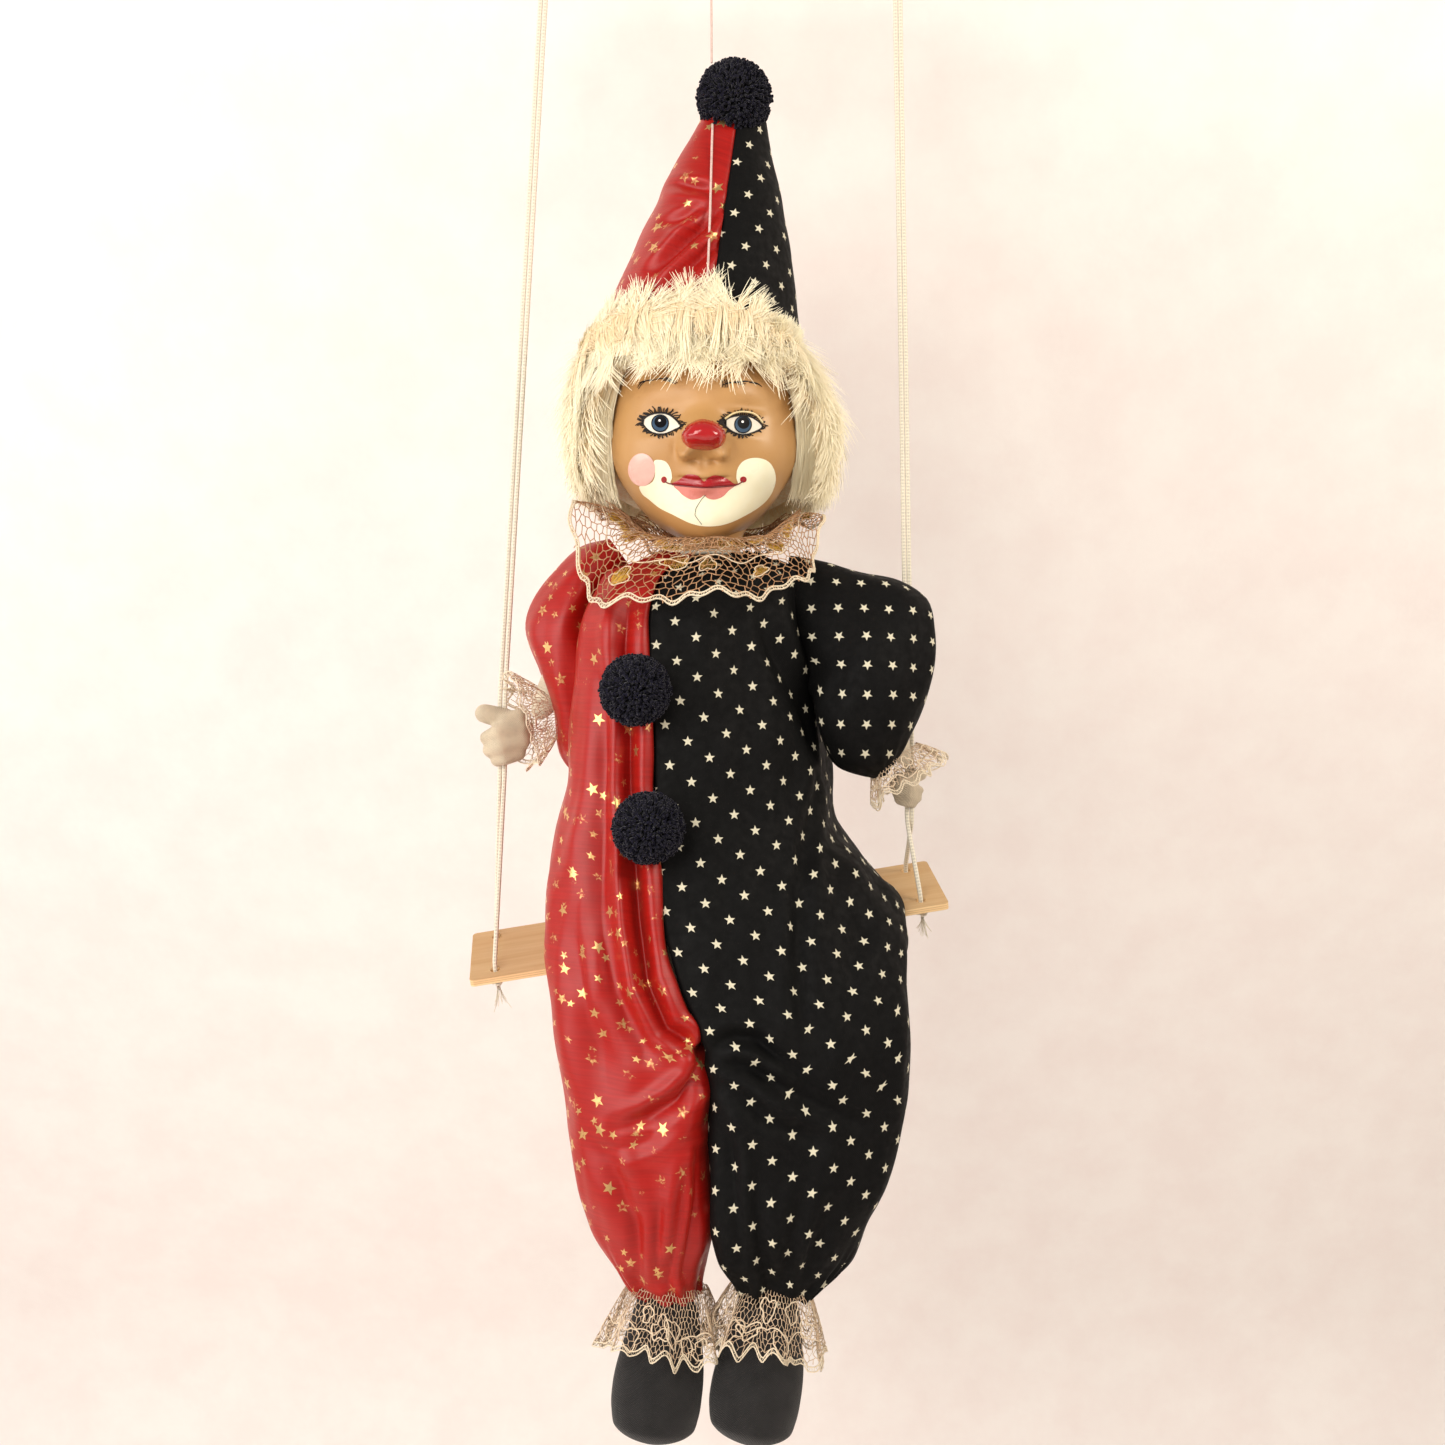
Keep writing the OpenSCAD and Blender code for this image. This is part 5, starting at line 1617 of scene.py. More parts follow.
    def tufts(self, rng, many):
        """Guide lines of the hair in front of the hat: up from its top, and down over the fringe below."""
        locks = 130
        lock_a, lock_h = rng.uniform(-124, 66, locks), rng.uniform(-1, 1, locks)
        a = rng.uniform(-124, 66, many)
        top = self.hair_top(a)
        h = mix(-17.0, top, rng.uniform(0, 1, many) ** 0.8)
        apart = ((a[:, None] - lock_a) * 0.7) ** 2 + ((h - top)[:, None] / 2 + 5 + lock_h * 6) ** 2
        near = np.argmin(apart, axis=1)
        up = mix(-1.0, 1.0, ramp(h - top + rng.normal(0, 2.0, many) + lock_h[near] * 2.5, -12.0, -3.0))
        stretch = np.where(up > 0.4, mix(0.95, 0.6, ramp(a, 14, 40)), 1.3)
        long = rng.uniform(8, 14, many) * rng.uniform(0.5, 1.5, locks)[near] * stretch
        lean = rng.normal(2.0, 11.0, locks)[near] + rng.normal(0, 4.0, many)
        lift = np.abs(rng.normal(1.0, 1.3, locks))[near] + np.abs(rng.normal(0, 0.8, many))
        lift = lift * np.where(up > 0, 1.0, 0.4)
        t = STRAND[None]
        turn = a[:, None] + lean[:, None] * t**1.3 + (lock_a[near] - a)[:, None] * 0.6 * t
        high = h[:, None] + (up * long)[:, None] * t
        line = self.over_hat(turn, high, -0.6 + lift[:, None] * t**1.2)
        shade = rng.uniform(-0.25, 0.5, locks)[near] + rng.uniform(0, 0.4, many)
        fringe, fringe_shade = self.fringe(rng, many // 2)
        return np.concatenate([line, fringe]), np.append(shade, fringe_shade)

    def fringe(self, rng, many):
        """Guide lines of the long locks that are combed from the hat's edge down over the forehead."""
        locks = 44
        lock_a = rng.uniform(-84, 64, locks)
        a = rng.uniform(-86, 66, many)
        near = np.argmin(abs(a[:, None] - lock_a), axis=1)
        tip_a = mix(a, lock_a[near], rng.uniform(0.4, 0.9, many))
        tip_a = tip_a + rng.normal(0, 3.0, locks)[near] + rng.normal(0, 1.2, many)
        top = self.over_hat(a, self.hair_top(a) - rng.uniform(-1, 15, many), 0.5)
        tip_v = wig_edge(tip_a) + rng.normal(0.0, 2.6, locks)[near] + rng.normal(-1.0, 1.6, many)
        tip = hair_at(tip_a, tip_v, hair_depth(tip_a, tip_v) * 0.9 + rng.uniform(0.8, 2.6, many))
        out = unit((mix(top, tip, 0.5) - HEAD_C) * [1, 1, 0.2])
        bulge = rng.uniform(1.0, 5.0, locks)[near] + rng.uniform(0, 2.0, many)
        bow = mix(top, tip, 0.45) + out * bulge[:, None]
        t = STRAND[None, :, None]
        line = mix(mix(top[:, None], bow[:, None], t), mix(bow[:, None], tip[:, None], t), t)
        return line, rng.uniform(-0.3, 0.5, locks)[near] + rng.uniform(-0.1, 0.5, many)


# Hat, costume and lace


def dented(points, normals, folds, shown):
    """Points of cloth pressed in along fold lines, given as [line in x and z, depth, width]."""
    flat = points[..., [0, 2]]
    for line, depth, width in folds:
        off, along = from_lines(flat, line)
        fade = np.sin(np.pi * np.clip(along * 0.9 + 0.05, 0, 1)) ** 0.6
        press = mix(hump(off, width), np.exp(-off / width), 0.5) - 0.45 * hump(off - width * 1.9, width)
        points = points - normals * (depth * fade * press * shown)[..., None]
    return points


def rough_cloth(points, normals, scale, height, seed):
    """Points of cloth with soft uneven swells."""
    flat = points.reshape(-1, 3)
    swell = np.array([noise.noise(Vector(p / scale + seed)) for p in flat]).reshape(points.shape[:-1])
    return points + normals * (swell * height)[..., None]


def cloth_lengths(grid):
    """Pattern map of a grid of cloth: round from its first column, drawn in at gathered ends, and along."""
    round_ = round_of(grid)
    open_rows = np.clip(np.arange(len(grid)), int(0.07 * len(grid)), int(0.86 * len(grid)))
    round_ = round_ * (round_[open_rows, -1] / round_[:, -1])[:, None]
    along = run_of(grid[:, 0])
    return np.stack([round_, np.broadcast_to(along[:, None], round_.shape)], -1)


class MARIONETTE_OT_hat(bpy.types.Operator):
    """Pointed hat of a red and a black panel"""

    bl_idname = "marionette.hat"
    bl_label = "Hat"

    def execute(self, context):
        folds = (
            (((-20, -109), (-12, -112), (-4, -114)), 3.0, 2.4),
            (((-28, -150), (-18, -140), (-8, -131), (0, -121)), 4.6, 2.6),
            (((-24, -158), (-12, -148), (-2, -139)), 3.8, 2.4),
            (((-24, -128), (-15, -126), (-6, -121)), 2.2, 2.4),
        )
        t = np.linspace(-0.02, 1.13, 100)
        seam = math.radians(4)
        for name, start, end, slot, cover in (
            ("red", seam, seam - math.pi, "red_satin", "red_satin"),
            ("black", seam, seam + math.pi, "black_print", "black_body"),
        ):
            a = np.linspace(start, end, 70)
            grid = hat_point(t[:, None], a[None])
            axis = hat_point(t[:, None], a[None], inward=5.0)
            out = unit(grid - axis)
            edge = np.minimum(abs(a - start), abs(end - a))[None]
            grid = grid - out * (0.9 * hump(edge, 0.05))[..., None]
            if name == "red":
                grid = dented(grid, out, folds, 1.0)
            grid = rough_cloth(grid, out, 17.0, 1.1, 3.0 if name == "red" else 9.0)
            slant = math.hypot(HAT_H, HAT_R - HAT_TIP_R)
            from_tip = (slant * (HAT_R / (HAT_R - HAT_TIP_R) - t))[:, None]
            spread = (a - (start + end) / 2)[None] * (HAT_R - HAT_TIP_R) / slant
            uv = np.stack([from_tip * np.sin(spread), -from_tip * np.cos(spread)], -1)
            piece = grid_piece(f"hat_{name}_satin", grid, finish(cover), uv, centre=(-1, 5, -130))
            thickened(piece, mm("cloth_t"))
            placed(piece, "turning_head", slot, f"hat_{name}_panel")
        return {"FINISHED"}


class MARIONETTE_OT_pompoms(bpy.types.Operator):
    """Navy yarn pompoms of the hat and the chest"""

    bl_idname = "marionette.pompoms"
    bl_label = "Pompoms"

    def execute(self, context):
        bodies = {"hat_pompom": "turning_head", "upper_chest_pompom": "swing", "lower_chest_pompom": "swing"}
        for node, body in bodies.items():
            low, high = box_mm(node)
            core = (high - low).max() / 2 - mm("yarn")
            sag = np.array([0, -9.0, -3.7]) if node == "hat_pompom" else np.zeros(3)
            work = bmesh.new()
            bmesh.ops.create_icosphere(work, subdivisions=4, radius=core * MM)
            bmesh.ops.translate(work, verts=work.verts, vec=Vector(((low + high) / 2 + sag) * MM))
            ball = from_work(f"{node}_yarn", work)
            density = sizes().yarn_count / (4 * math.pi * (core * MM) ** 2)
            ends = {"Density": density, "Length": sizes().yarn, "Thickness": 0.00055}
            shaped(ball, yarn_tree(), Finish=finish("yarn"), **ends)
            placed(ball, body, "navy_yarn", node)
        return {"FINISHED"}


# Share of the way down, then height and depth of the front seam, of the back seam, the seams' places across,
# the half widths of the red and the black side, and the depth of the side
SUIT = np.array([
    (0.00, -266, -12, -264, 26, -12, -4, 16, 24, 5),
    (0.03, -274, -27, -270, 38, -22, -4, 29, 46, 5),
    (0.07, -286, -37, -281, 46, -28, -4, 35, 52, 5),
    (0.19, -325, -45, -320, 52, -28.7, -4, 43.6, 56.4, 5),
    (0.31, -365, -49, -360, 54, -27, -4, 47.5, 63, 5),
    (0.38, -387, -52, -385, 53, -26, -4, 54, 66, 5),
    (0.44, -407, -57, -404, 50, -24.5, -4, 56.8, 80.2, 0),
    (0.50, -426, -62, -416, 34, -21.5, -4, 58.3, 89.2, -10),
    (0.555, -444, -66, -429, 2, -16, -4, 60, 88, -25),
    (0.61, -462, -68, -446, -12, -7.5, -5, 61.8, 84.2, -34),
    (0.66, -478, -69, -468, -12, -5, -5, 60.5, 82, -38),
    (0.74, -504, -68, -500, -12, -5, -5, 57.3, 78, -38),
    (0.82, -530, -66, -528, -15, -5, -5, 52, 72, -38),
    (0.89, -549, -62, -548, -18, -4.8, -4.8, 43.5, 60.5, -38),
    (0.95, -563, -56, -562, -21, -4, -4, 33, 47, -38),
    (1.00, -573, -51, -572, -24, -3, -3, 25, 33.5, -38),
])
SUIT_FOLDS = (
    (
        (
            ((-38.4, -287), (-39.5, -308), (-37.4, -338), (-37.6, -364), (-34.9, -396), (-32.8, -418),
             (-29.5, -440), (-21.5, -458), (-7, -467)),
            8, 3.2,
        ),
        (((-46, -325), (-48, -373), (-48.6, -400), (-46.8, -422), (-41.5, -445), (-30, -466)), 4.5, 4.5),
        (((-58, -395), (-57.5, -425), (-53, -457), (-46, -480)), 2.5, 5.5),
        (((-6.5, -469), (-9.6, -479), (-17.5, -486), (-28.5, -493.5), (-40, -498)), 6, 3.2),
        (((-8, -482), (-18, -493), (-30, -502), (-44, -507)), 3, 3.5),
        (((-7, -508), (-9, -530), (-15, -560)), 4, 2.6),
        (((-13, -514), (-16, -535), (-21, -562)), 3.5, 2.6),
        (((-24, -530), (-26, -562)), 2.2, 2.6),
        (((-34, -534), (-32, -562)), 2, 2.6),
        (((-50, -505), (-40, -520), (-33, -545)), 2.2, 4),
    ),
    (
        (((-4, -466), (5, -461.5), (14, -462.5), (23, -470), (34, -480), (48, -489)), 4, 3),
        (((-2, -470), (14, -475), (27, -482.5), (41, -490.5), (57, -498)), 4, 3.2),
        (((0, -478), (10, -487), (22, -496), (38, -503)), 2.6, 3.4),
        (((46, -352), (37, -380), (32.6, -404), (31.4, -431), (32.5, -453), (42, -466)), 3, 3.2),
        (((15, -292), (24, -311), (33, -327), (39, -348)), 3.2, 4),
        (((4, -288), (9, -312), (12, -345), (13, -380)), 1.6, 6),
        (((62, -412), (52, -436), (50, -462)), 2.2, 5),
        (((3, -500), (5, -520), (9, -550)), 3, 3),
        (((13, -520), (15, -540), (19, -563)), 2.5, 2.8),
        (((32, -522), (28, -545), (25, -566)), 2.2, 2.8),
        (((45, -528), (38, -548), (31, -566)), 2, 3),
    ),
)


class MARIONETTE_OT_costume(bpy.types.Operator):
    """Suit of a red and a black half, each from the neck to the ankle"""

    bl_idname = "marionette.costume"
    bl_label = "Costume"

    def execute(self, context):
        halves = (
            ("red", "red_satin", "red_satin", ("costume_red_half", "red_trouser_leg"), (0.2, 0.36)),
            ("black", "black_print", "black_body", ("costume_black_half", "black_trouser_leg"), (0.25, 0.36)),
        )
        for k, (name, slot, cover, nodes, flat) in enumerate(halves):
            grid, wall = self.half(k)
            uv, wall_uv = cloth_lengths(grid), cloth_lengths(wall)
            wall_uv[..., 0] *= -1
            points = np.concatenate([grid.reshape(-1, 3), wall.reshape(-1, 3)])
            outer, inner = grid.shape[:2], wall.shape[:2]
            faces = [grid_faces(*outer), grid_faces(*inner, first=outer[0] * outer[1])]
            maps = np.concatenate([uv.reshape(-1, 2), wall_uv.reshape(-1, 2)])
            piece = new_piece(f"suit_{name}_half", points, np.concatenate(faces), finish(cover), maps)
            facing_out(piece, (-35 if k == RED else 30, -15, -420))
            thickened(piece, mm("cloth_t"))
            placed(piece, None, slot, *nodes)
            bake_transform(piece)
        return {"FINISHED"}

    def half(self, k):
        """Grid of the cloth from the front seam round to the back one, and of the inside of the leg."""
        hand = -1.0 if k == RED else 1.0
        t = np.linspace(0, 1, 260)[:, None]
        row = spline(SUIT, t[:, 0])
        zf, yf, zb, yb, xf, xb, red, black, ym = (row[:, i][:, None] for i in range(9))
        wide = red if k == RED else black
        legs = ramp(t, 0.58, 0.7)
        xf, xb = xf + hand * 0.3 * legs, xb + hand * 0.3 * legs
        spread = hand * (5.5 if k == RED else 7.5) * ramp(t, 0.84, 1.0)
        xf, xb = xf + spread, xb + spread
        s = np.linspace(0, 1, 130)[None]
        a = np.pi * (s - 0.1 * np.sin(2 * np.pi * s))
        back = (1 - np.cos(a)) / 2
        x = mix(xf, xb, back) + hand * wide * np.sin(a) ** 0.8
        lean = np.abs(np.cos(a)) ** 0.8
        y = np.where(a < np.pi / 2, ym - (ym - yf) * lean, ym + (yb - ym) * lean)
        z = mix(zf, zb, back)
        z = z + (x + 6.3) * 0.155 * back * ramp(t, 0.3, 0.44) * ramp(t, 0.66, 0.56)
        z = z - 9.0 * hump(t - 0.45, 0.07) * ramp(back, 0.55, 0.95)
        corner = mix(1.5, 13.0, legs)
        for edge, sign in ((xf, 1.0), (xb, -1.0)):
            here = a < np.pi / 2 if sign > 0 else a >= np.pi / 2
            near = np.clip(1 - abs(x - edge) / corner, 0, 1) * here
            y = y + sign * corner * (1 - np.sqrt(1 - near**2))
        grid = np.stack([x, y, z], -1)
        out = grid_normals(grid)
        middle = np.stack(np.broadcast_arrays(mix(xf, xb, 0.5) + hand * wide * 0.4, ym, z), -1)
        out = out * np.sign(((grid - middle) * out).sum((-1, -2, -3)))
        front = ramp(np.cos(a), -0.15, 0.25)
        grid = dented(grid, out, SUIT_FOLDS[k], front * ramp(t, 0.0, 0.04))
        grid = rough_cloth(grid, out, (13.0, 13.0, 60.0), 1.8, 4.0 + 7 * k)
        grid = rough_cloth(grid, out, 24.0, 1.6, 30.0 + 7 * k)
        grid = rough_cloth(grid, out, (8.0, 8.0, 22.0), 0.7, 50.0 + 7 * k)
        gather = hump((1 - t) * 340.0, 22.0) * 1.5
        neck = hump(t * 340.0, 16.0) * 1.2
        ripples = gather * np.cos(22 * a + 3 * np.sin(5 * a)) + neck * np.cos(19 * a)
        grid = grid + out * (ripples * np.clip(np.sin(a) * 5, 0, 1))[..., None]
        axes = turned(np.eye(3), SEAT_TURN)
        seat = (grid - SEAT_C) @ axes.T
        under = np.minimum(seat[..., 2] - 2.4, 0) * ramp(seat[..., 1], -25, -19)
        grid = grid - under[..., None] * axes[2]
        first = int(0.585 * 259)
        rows = grid[first:]
        across = np.linspace(0, 1, 18)[None, :, None]
        sway = 2.6 * np.sin(np.pi * across) * ramp(t[first:], 0.6, 0.7)[..., None]
        wall = mix(rows[:, :1], rows[:, -1:], across) + sway * np.array([1.0, 0, 0])
        return grid, wall


def between_edges(inner, outer, y, deep):
    """Ring of a loft between two edges given in x and z, at depth y and that deep to each side of it."""
    (x0, z0), (x1, z1) = inner, outer
    return ((x0 + x1) / 2, y, (z0 + z1) / 2), (z1 - z0, 0, x0 - x1), math.hypot(x1 - x0, z1 - z0) / 2, deep


class MARIONETTE_OT_sleeves(bpy.types.Operator):
    """Puffed sleeves that hang as pouches from the shoulders"""

    bl_idname = "marionette.sleeves"
    bl_label = "Sleeves"

    def execute(self, context):
        red = (
            ((-44, 8, -264), (-0.8, 0, -0.6), 8, 14),
            ((-53, 8, -269), (-0.75, 0, -0.66), 11, 18),
            ((-62, 6, -280), (-0.6, 0, -0.8), 13, 21),
            ((-68.5, 4, -297), (-0.1, 0, -1), 17, 22),
            ((-65, 3, -314), (0.1, 0, -1), 14.5, 21),
            ((-61.5, 4, -331), (0.12, 0.1, -1), 12, 18),
            ((-60, 6, -350), (0.1, 0.1, -1), 10.5, 14),
            ((-58, 8, -363), (0.1, 0.1, -1), 7, 9),
        )
        black_edges = (
            ((26, -302), (30, -265), 6, 12),
            ((32, -312), (46.5, -268), 3, 17),
            ((35, -318), (62, -273), -1, 20),
            ((36.5, -321), (77, -277), -4, 22),
            ((37, -324), (87, -285.5), -7, 23.5),
            ((38, -328), (89.3, -300), -9, 24),
            ((39.5, -335), (88.8, -318), -10.5, 23.5),
            ((43, -346), (84.5, -335), -10, 20),
            ((51, -357.5), (79, -349), -8, 14),
            ((63, -364), (75, -360), -6, 8),
        )
        black = [between_edges(*row) for row in black_edges]
        for k, (name, rings, slot, cover, flat) in enumerate((
            ("red", red, "red_satin", "red_satin", (0.12, 0.1)),
            ("black", black, "black_print", "black_sleeve", (0.14, 0.11)),
        )):
            def ripple(t, a, k=k):
                drop = 0.05 * np.cos(3 * a + 4 * t + k) + 0.035 * np.cos(5 * a - 7 * t + 2 * k)
                drop = drop + 0.02 * np.cos(8 * a + 15 * t)
                hem = 0.05 * np.cos(11 * a + 2 * np.sin(3 * a)) * ramp(t, 0.72, 1.0)
                return drop * np.sin(np.pi * t) + hem

            pouch = {"sides": 80, "steps": 90, "ripple": ripple, "open_top": True, "upright": True}
            sleeve = loft(f"{name}_sleeve_pouch", rings, finish(cover), **pouch)
            thickened(sleeve, mm("cloth_t"))
            placed(sleeve, None, slot, f"{name}_sleeve")
            top, low = np.array(rings[1][0]), np.array(rings[3][0])
            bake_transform(sleeve)
        return {"FINISHED"}


def lace_strip(long, high, cell, seed, gilt):
    """Guide lines of a strip of lace, in length and height: net, heavy threads, border and gold."""
    rng = np.random.default_rng(seed)
    net, heavy, gold = [], [], []
    rise = cell / math.sqrt(3) * 1.5
    columns = int(round(long / cell))
    cell = long / columns
    shift = rng.normal(0, cell * 0.13, (int(high / rise) + 3, 2 * columns + 1, 2))
    i = np.arange(2 * columns + 1)

    def row_of(j):
        y = 1.0 + j * rise + np.where((i + j) % 2, rise / 3, 0)
        return np.stack([i * cell / 2, y], 1) + shift[j]

    for j in range(int((high - 4.0) / rise) + 1):
        row, after = row_of(j), row_of(j + 1)
        net.append(row)
        net += [np.array([row[m], after[m]]) for m in range(1 - j % 2, 2 * columns + 1, 2)]
    arcs = int(round(long / 11.0))
    x = np.linspace(0, long, arcs * 14 + 1)
    wave = 1.3 * np.sin(2 * np.pi * x * arcs / long) + 0.5 * np.sin(2 * np.pi * x * (arcs // 3) / long + seed)
    border = [np.stack([x, high - 1.0 + wave], 1), np.stack([x, high - 2.6 + wave], 1)]
    fine = np.linspace(0, long, int(long / 0.9))
    edge = np.interp(fine, x, wave) + high - 1.8
    border.append(np.stack([fine, edge + np.where(np.arange(len(fine)) % 2, 1.0, -1.0)], 1))
    heavy.append(np.stack([x, high * 0.62 + 1.6 * np.sin(2 * np.pi * x * (arcs // 2) / long + 1)], 1))
    a = np.linspace(0, 2 * math.pi, 25)
    motifs = int(round(long / (7.5 if gilt else 9.5)))
    for m in range(motifs):
        cx, cy = (m + rng.uniform(0.3, 0.7)) * long / motifs, high * rng.uniform(0.3, 0.8)
        rx, ry = rng.uniform(3.0, 6.2), min(high * 0.16, rng.uniform(2.6, 5.0))
        lumpy = 1 + 0.22 * np.cos(3 * a + rng.uniform(0, 6)) + 0.12 * np.cos(5 * a + rng.uniform(0, 6))
        heavy.append(np.stack([cx + rx * lumpy * np.cos(a), cy + ry * lumpy * np.sin(a)], 1))
        if gilt:
            strokes = 30
            across = np.linspace(-0.94, 0.94, strokes)
            tall = np.sqrt(1 - across**2) * ry * rng.uniform(0.75, 1.05, strokes)
            gold.append(np.stack([cx + rx * across, cy + tall * np.where(np.arange(strokes) % 2, 1, -1)], 1))
    for group in (net, heavy, border, gold):
        for line in group:
            line[:, 0] = np.clip(line[:, 0], 0, long)
    return net, heavy, border, gold


def laced(name, long, high, surface, body, node, covered, seed, gilt=False):
    """A strip of lace laid on a surface, which takes length and height to points in millimetres."""
    def laid(lines):
        return [surface(line[:, 0] / long, np.clip(line[:, 1] / high, 0, 1.06)) for line in lines]

    net, heavy, border, gold = lace_strip(long, high, mm("lace_cell") * (1.4 if gilt else 1.0), seed, gilt)
    thick = [1.35 if gilt else 1.0] * len(net) + [1.8] * len(heavy) + [2.4 if gilt else 1.7] * len(border)
    # Lower shade values give the net more tan, which is partly painted shade; the collar's net takes the
    # most.
    shade = np.repeat([0.1 if gilt else 0.5, 0.8, 1.0], [len(net), len(heavy), len(border)])
    plain = laid(net + heavy + border)
    piece = threads(f"{name}_net", plain, mm("lace_t") / 2, finish("lace"), thick=thick, shade=shade)
    placed(piece, body, "lace", node)
    pieces = []
    if gilt:
        bright = threads(f"{name}_gold", laid(gold), mm("lace_t") * 0.5, finish("lurex"), thick=1.5)
        pieces = [placed(bright, body, "lace")]
    flat = (long * MM, high * MM)
    area = flat[0] * flat[1] * covered


class MARIONETTE_OT_lace(bpy.types.Operator):
    """Lace of the collar, the cuffs and the ankles"""

    bl_idname = "marionette.lace"
    bl_label = "Lace"

    def execute(self, context):
        laced("collar_lace", 340.0, 56.0, self.collar, "swing", "lace_collar", 0.8, 3, gilt=True)
        cuffs = (
            (np.array([-73.0, 6.0, -334.0]), np.array([-0.92, -0.25, -0.25]), 8.5, 21.0, 17.0),
            (np.array([74.5, -3.0, -352.5]), np.array([0.55, -0.05, -0.83]), 11.0, 18.5, 15.0),
        )
        for k, (at, along, r0, r1, high) in enumerate(cuffs):
            frill = self.frill(at, along, r0, r1, high, 7, 2.6, k)
            laced(f"{SIDES[k]}_cuff_lace", 150.0, high, frill, ARMS[k], f"{SIDES[k]}_lace_cuff", 1.0, 5 + k)
            d = unit(TOES[k] - ANKLES[k])
            frill = self.frill(ANKLES[k] - d * 9.0, d, 15.0, 25.5, 30.0, 8, 3.0, k + 2)
            name = f"{SIDES[k]}_ankle_lace"
            laced(name, 210.0, 28.0, frill, LOWER_LEGS[k], name, 1.0, 8 + k)
        return {"FINISHED"}

    def collar(self, x, s):
        """Place on the collar, which stands up at the shoulders and hangs on the chest.

        The first quarter of its height is the heading above the gathers, turned back over the rest.
        """
        a = 2 * math.pi * x - math.pi
        at = np.degrees(a)
        angles = [-180, -130, -100, -78, -58, -42, -22, 0, 22, 42, 62, 82, 105, 140, 180]
        lows = [-262, -254, -240, -247, -277, -293, -289, -288, -287, -281, -267, -252, -247, -256, -262]
        reaches = [46, 49, 54, 60, 67, 67, 63, 61, 59, 56, 52, 48, 46, 46, 46]
        low, reach = np.interp(at, angles, lows), np.interp(at, angles, reaches)
        wave = np.cos(a * 9 + 0.9 * np.sin(2 * a))
        gather_r, gather_z, share = 24.5, -260.0, 0.25
        heading = np.clip(1 - s / share, 0, 1)
        s = np.where(heading > 0, (heading * 0.66) ** 1.52, (s - share) / (1 - share))
        r = mix(gather_r, reach, s**0.66) + 2.2 * s * np.sin(a * 9 + 1.0)
        stand = 8.5 * np.sin(np.pi * s**0.7) * ramp(abs(at), 25, 75)
        z = mix(gather_z, low, s**1.3) + stand + s * wave * mix(1.7, 4.5, ramp(abs(at), 40, 85))
        z = z + heading * (2.2 + 1.2 * np.sin(a * 13))
        return np.stack([NECK[0] + r * np.sin(a), NECK[1] - r * np.cos(a), z], -1)

    def frill(self, centre, along, r0, r1, long, waves, high, seed):
        along = unit(along)
        side = unit(np.cross([0.1, 1.0, 0.0], along))
        up = np.cross(along, side)

        def surface(x, s):
            a = 2 * math.pi * x
            swing = np.cos(a * waves + seed + np.sin(a))
            r = mix(r0, r1, s**0.8) + high * s * swing
            slip = 1.4 * s * np.sin(a * 3 + seed)
            ring = r[:, None] * (np.cos(a)[:, None] * side + np.sin(a)[:, None] * up)
            return centre + ring + (long * s * (1 - 0.12 * abs(swing)) + slip)[:, None] * along

        return surface


# Hands and feet


def capsules(name, parts, cover, voxel):
    """Stuffed form from rounded rods of [from, to, radius at each end] that run into each other."""
    work = bmesh.new()
    for a, b, ra, rb in parts:
        a, b = np.asarray(a, float), np.asarray(b, float)
        for s in np.linspace(0, 1, max(2, int(np.linalg.norm(b - a) / 1.2))):
            made = bmesh.ops.create_icosphere(work, subdivisions=3, radius=mix(ra, rb, s) * MM)
            bmesh.ops.translate(work, verts=made["verts"], vec=Vector(mix(a, b, s) * MM))
    piece = from_work(name, work)
    melt = piece.modifiers.new("Melt", "REMESH")
    melt.mode = "VOXEL"
    melt.voxel_size = voxel * MM
    ease = piece.modifiers.new("Ease", "SMOOTH")
    ease.iterations = 6
    settled(piece)
    piece.data.materials.clear()
    piece.data.materials.append(cover)
    piece.data.polygons.foreach_set("use_smooth", np.ones(len(piece.data.polygons), bool))
    return piece


# Palm, thumb and fingers of the right fist, from its grip: the ends of each rod and its radius at each
FIST = (
    ((6, 3, 0), (3, 2, -6), 7.6, 7.0),
    ((1, -1, 6), (-7.5, -3, 8.2), 4.8, 4.3),
    ((2, -3.5, 5), (7.5, -3, 7), 4.0, 3.4),
    ((8, -3.5, 1.5), (-1, -7, -0.5), 4.1, 4.0),
    ((-1, -7, -0.5), (-6.5, -4.5, -2.5), 4.0, 3.0),
    ((8.5, -3.5, -4), (0.5, -7, -6), 4.3, 4.2),
    ((0.5, -7, -6), (-5, -4.5, -8), 4.2, 3.2),
    ((7, -2.5, -9), (2, -5, -11), 3.9, 3.6),
    ((2, -5, -11), (-2, -3.5, -12.5), 3.6, 2.8),
)


class MARIONETTE_OT_hands(bpy.types.Operator):
    """Stuffed fists that hold the cords"""

    bl_idname = "marionette.hands"
    bl_label = "Hands"

    def execute(self, context):
        for k, side in enumerate(SIDES):
            flip = np.array([1.0, 1, 1]) if k == RED else np.array([-0.64, 0.7, 0.64])
            size = 1.0 if k == RED else 0.66
            rods = []
            for *ends, ra, rb in FIST:
                a, b = (GRIPS[k] + np.array(end) * flip for end in ends)
                rods.append((a, b, ra * size, rb * size))
            piece = capsules(f"{side}_hand_mitten", rods, finish("hand"), 0.9)
            placed(piece, "swing", "hand_cloth", f"{side}_hand")
        return {"FINISHED"}


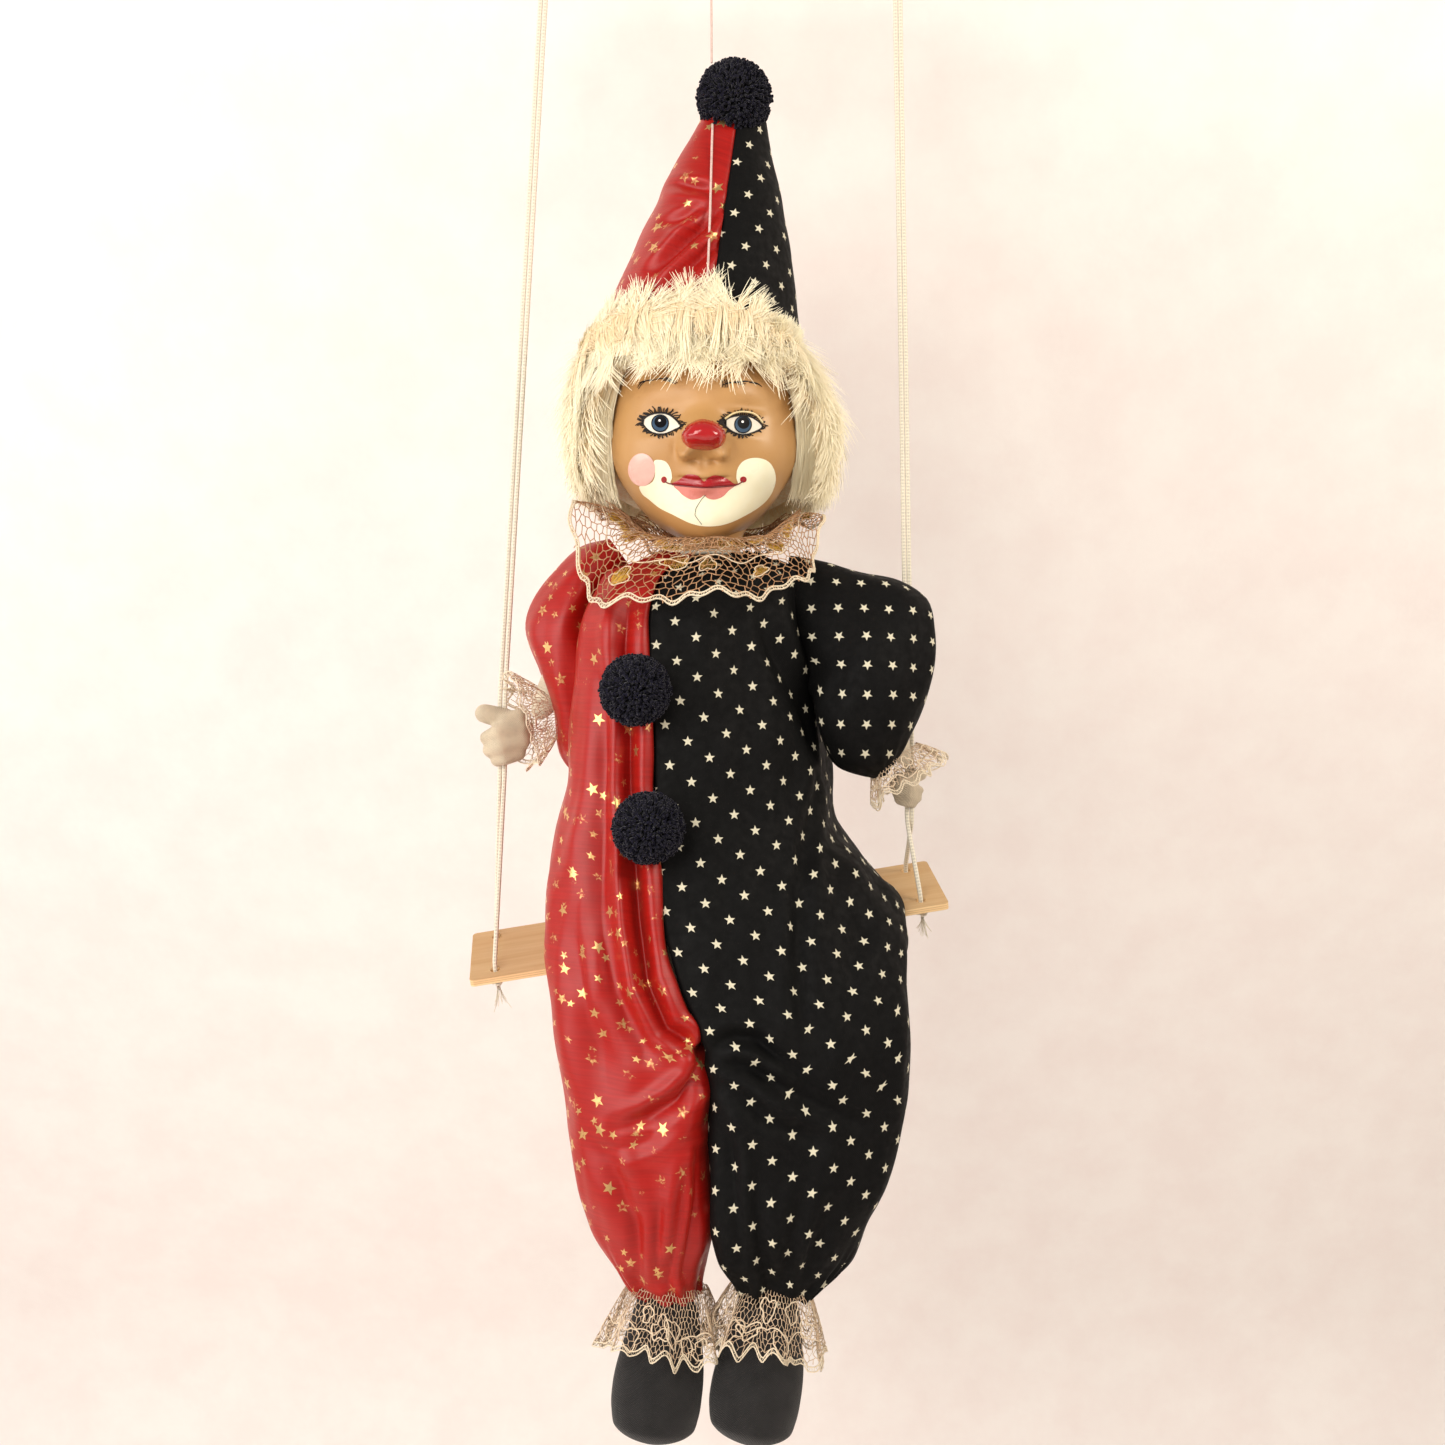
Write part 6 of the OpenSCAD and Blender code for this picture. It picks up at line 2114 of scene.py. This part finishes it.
class MARIONETTE_OT_feet(bpy.types.Operator):
    """Stuffed charcoal feet with a seam round the sole"""

    bl_idname = "marionette.feet"
    bl_label = "Feet"

    def execute(self, context):
        shape = (
            (-0.1, 11.5, 11.5), (0.12, 14, 14), (0.35, 17, 16.5), (0.6, 18.5, 17.8),
            (0.78, 18, 17.2), (0.9, 16, 15.5), (0.97, 13, 12.5), (1.0, 10, 10),
        )

        def ripple(t, a):
            seam = -0.05 * (hump(np.sin(a), 0.06) * ramp(t, 0.1, 0.3))
            return seam + 0.012 * np.cos(5 * a + 9 * t) * np.sin(np.pi * t)

        for k, side in enumerate(SIDES):
            along = TOES[k] - ANKLES[k]
            rings = [(ANKLES[k] + along * s, along, w, h) for s, w, h in shape]
            foot = loft(f"{side}_foot_shoe", rings, finish("shoe"), sides=72, steps=80, ripple=ripple)
            placed(foot, LOWER_LEGS[k], "black_felt", f"{side}_foot")
        return {"FINISHED"}


class MARIONETTE_PT_panel(bpy.types.Panel):
    """Lists the marionette's sizes, colours and pieces"""

    bl_idname = "MARIONETTE_PT_panel"
    bl_label = "Marionette"
    bl_space_type = "VIEW_3D"
    bl_region_type = "UI"
    bl_category = "Marionette"

    def draw(self, context):
        for group in (context.scene.marionette_sizes, context.scene.marionette_colours):
            box = self.layout.box()
            for key in group.__annotations__:
                box.prop(group, key)
        for kind in OPERATORS:
            self.layout.operator(kind.bl_idname)


OPERATORS = (
    MARIONETTE_OT_stage,
    MARIONETTE_OT_strings,
    MARIONETTE_OT_knots,
    MARIONETTE_OT_woodwork,
    MARIONETTE_OT_stuffing,
    MARIONETTE_OT_head,
    MARIONETTE_OT_wig,
    MARIONETTE_OT_hat,
    MARIONETTE_OT_pompoms,
    MARIONETTE_OT_costume,
    MARIONETTE_OT_sleeves,
    MARIONETTE_OT_lace,
    MARIONETTE_OT_hands,
    MARIONETTE_OT_feet,
)
CLASSES = (MarionetteColours, MarionetteSizes, *OPERATORS, MARIONETTE_PT_panel)


def register():
    for kind in CLASSES:
        bpy.utils.register_class(kind)
    bpy.types.Scene.marionette_colours = bpy.props.PointerProperty(type=MarionetteColours)
    bpy.types.Scene.marionette_sizes = bpy.props.PointerProperty(type=MarionetteSizes)


def unregister():
    del bpy.types.Scene.marionette_sizes
    del bpy.types.Scene.marionette_colours
    for kind in reversed(CLASSES):
        bpy.utils.unregister_class(kind)


def main():
    register()
    for kind in OPERATORS:
        group, name = kind.bl_idname.split(".")
        getattr(getattr(bpy.ops, group), name)()


if __name__ == "__main__":
    main()
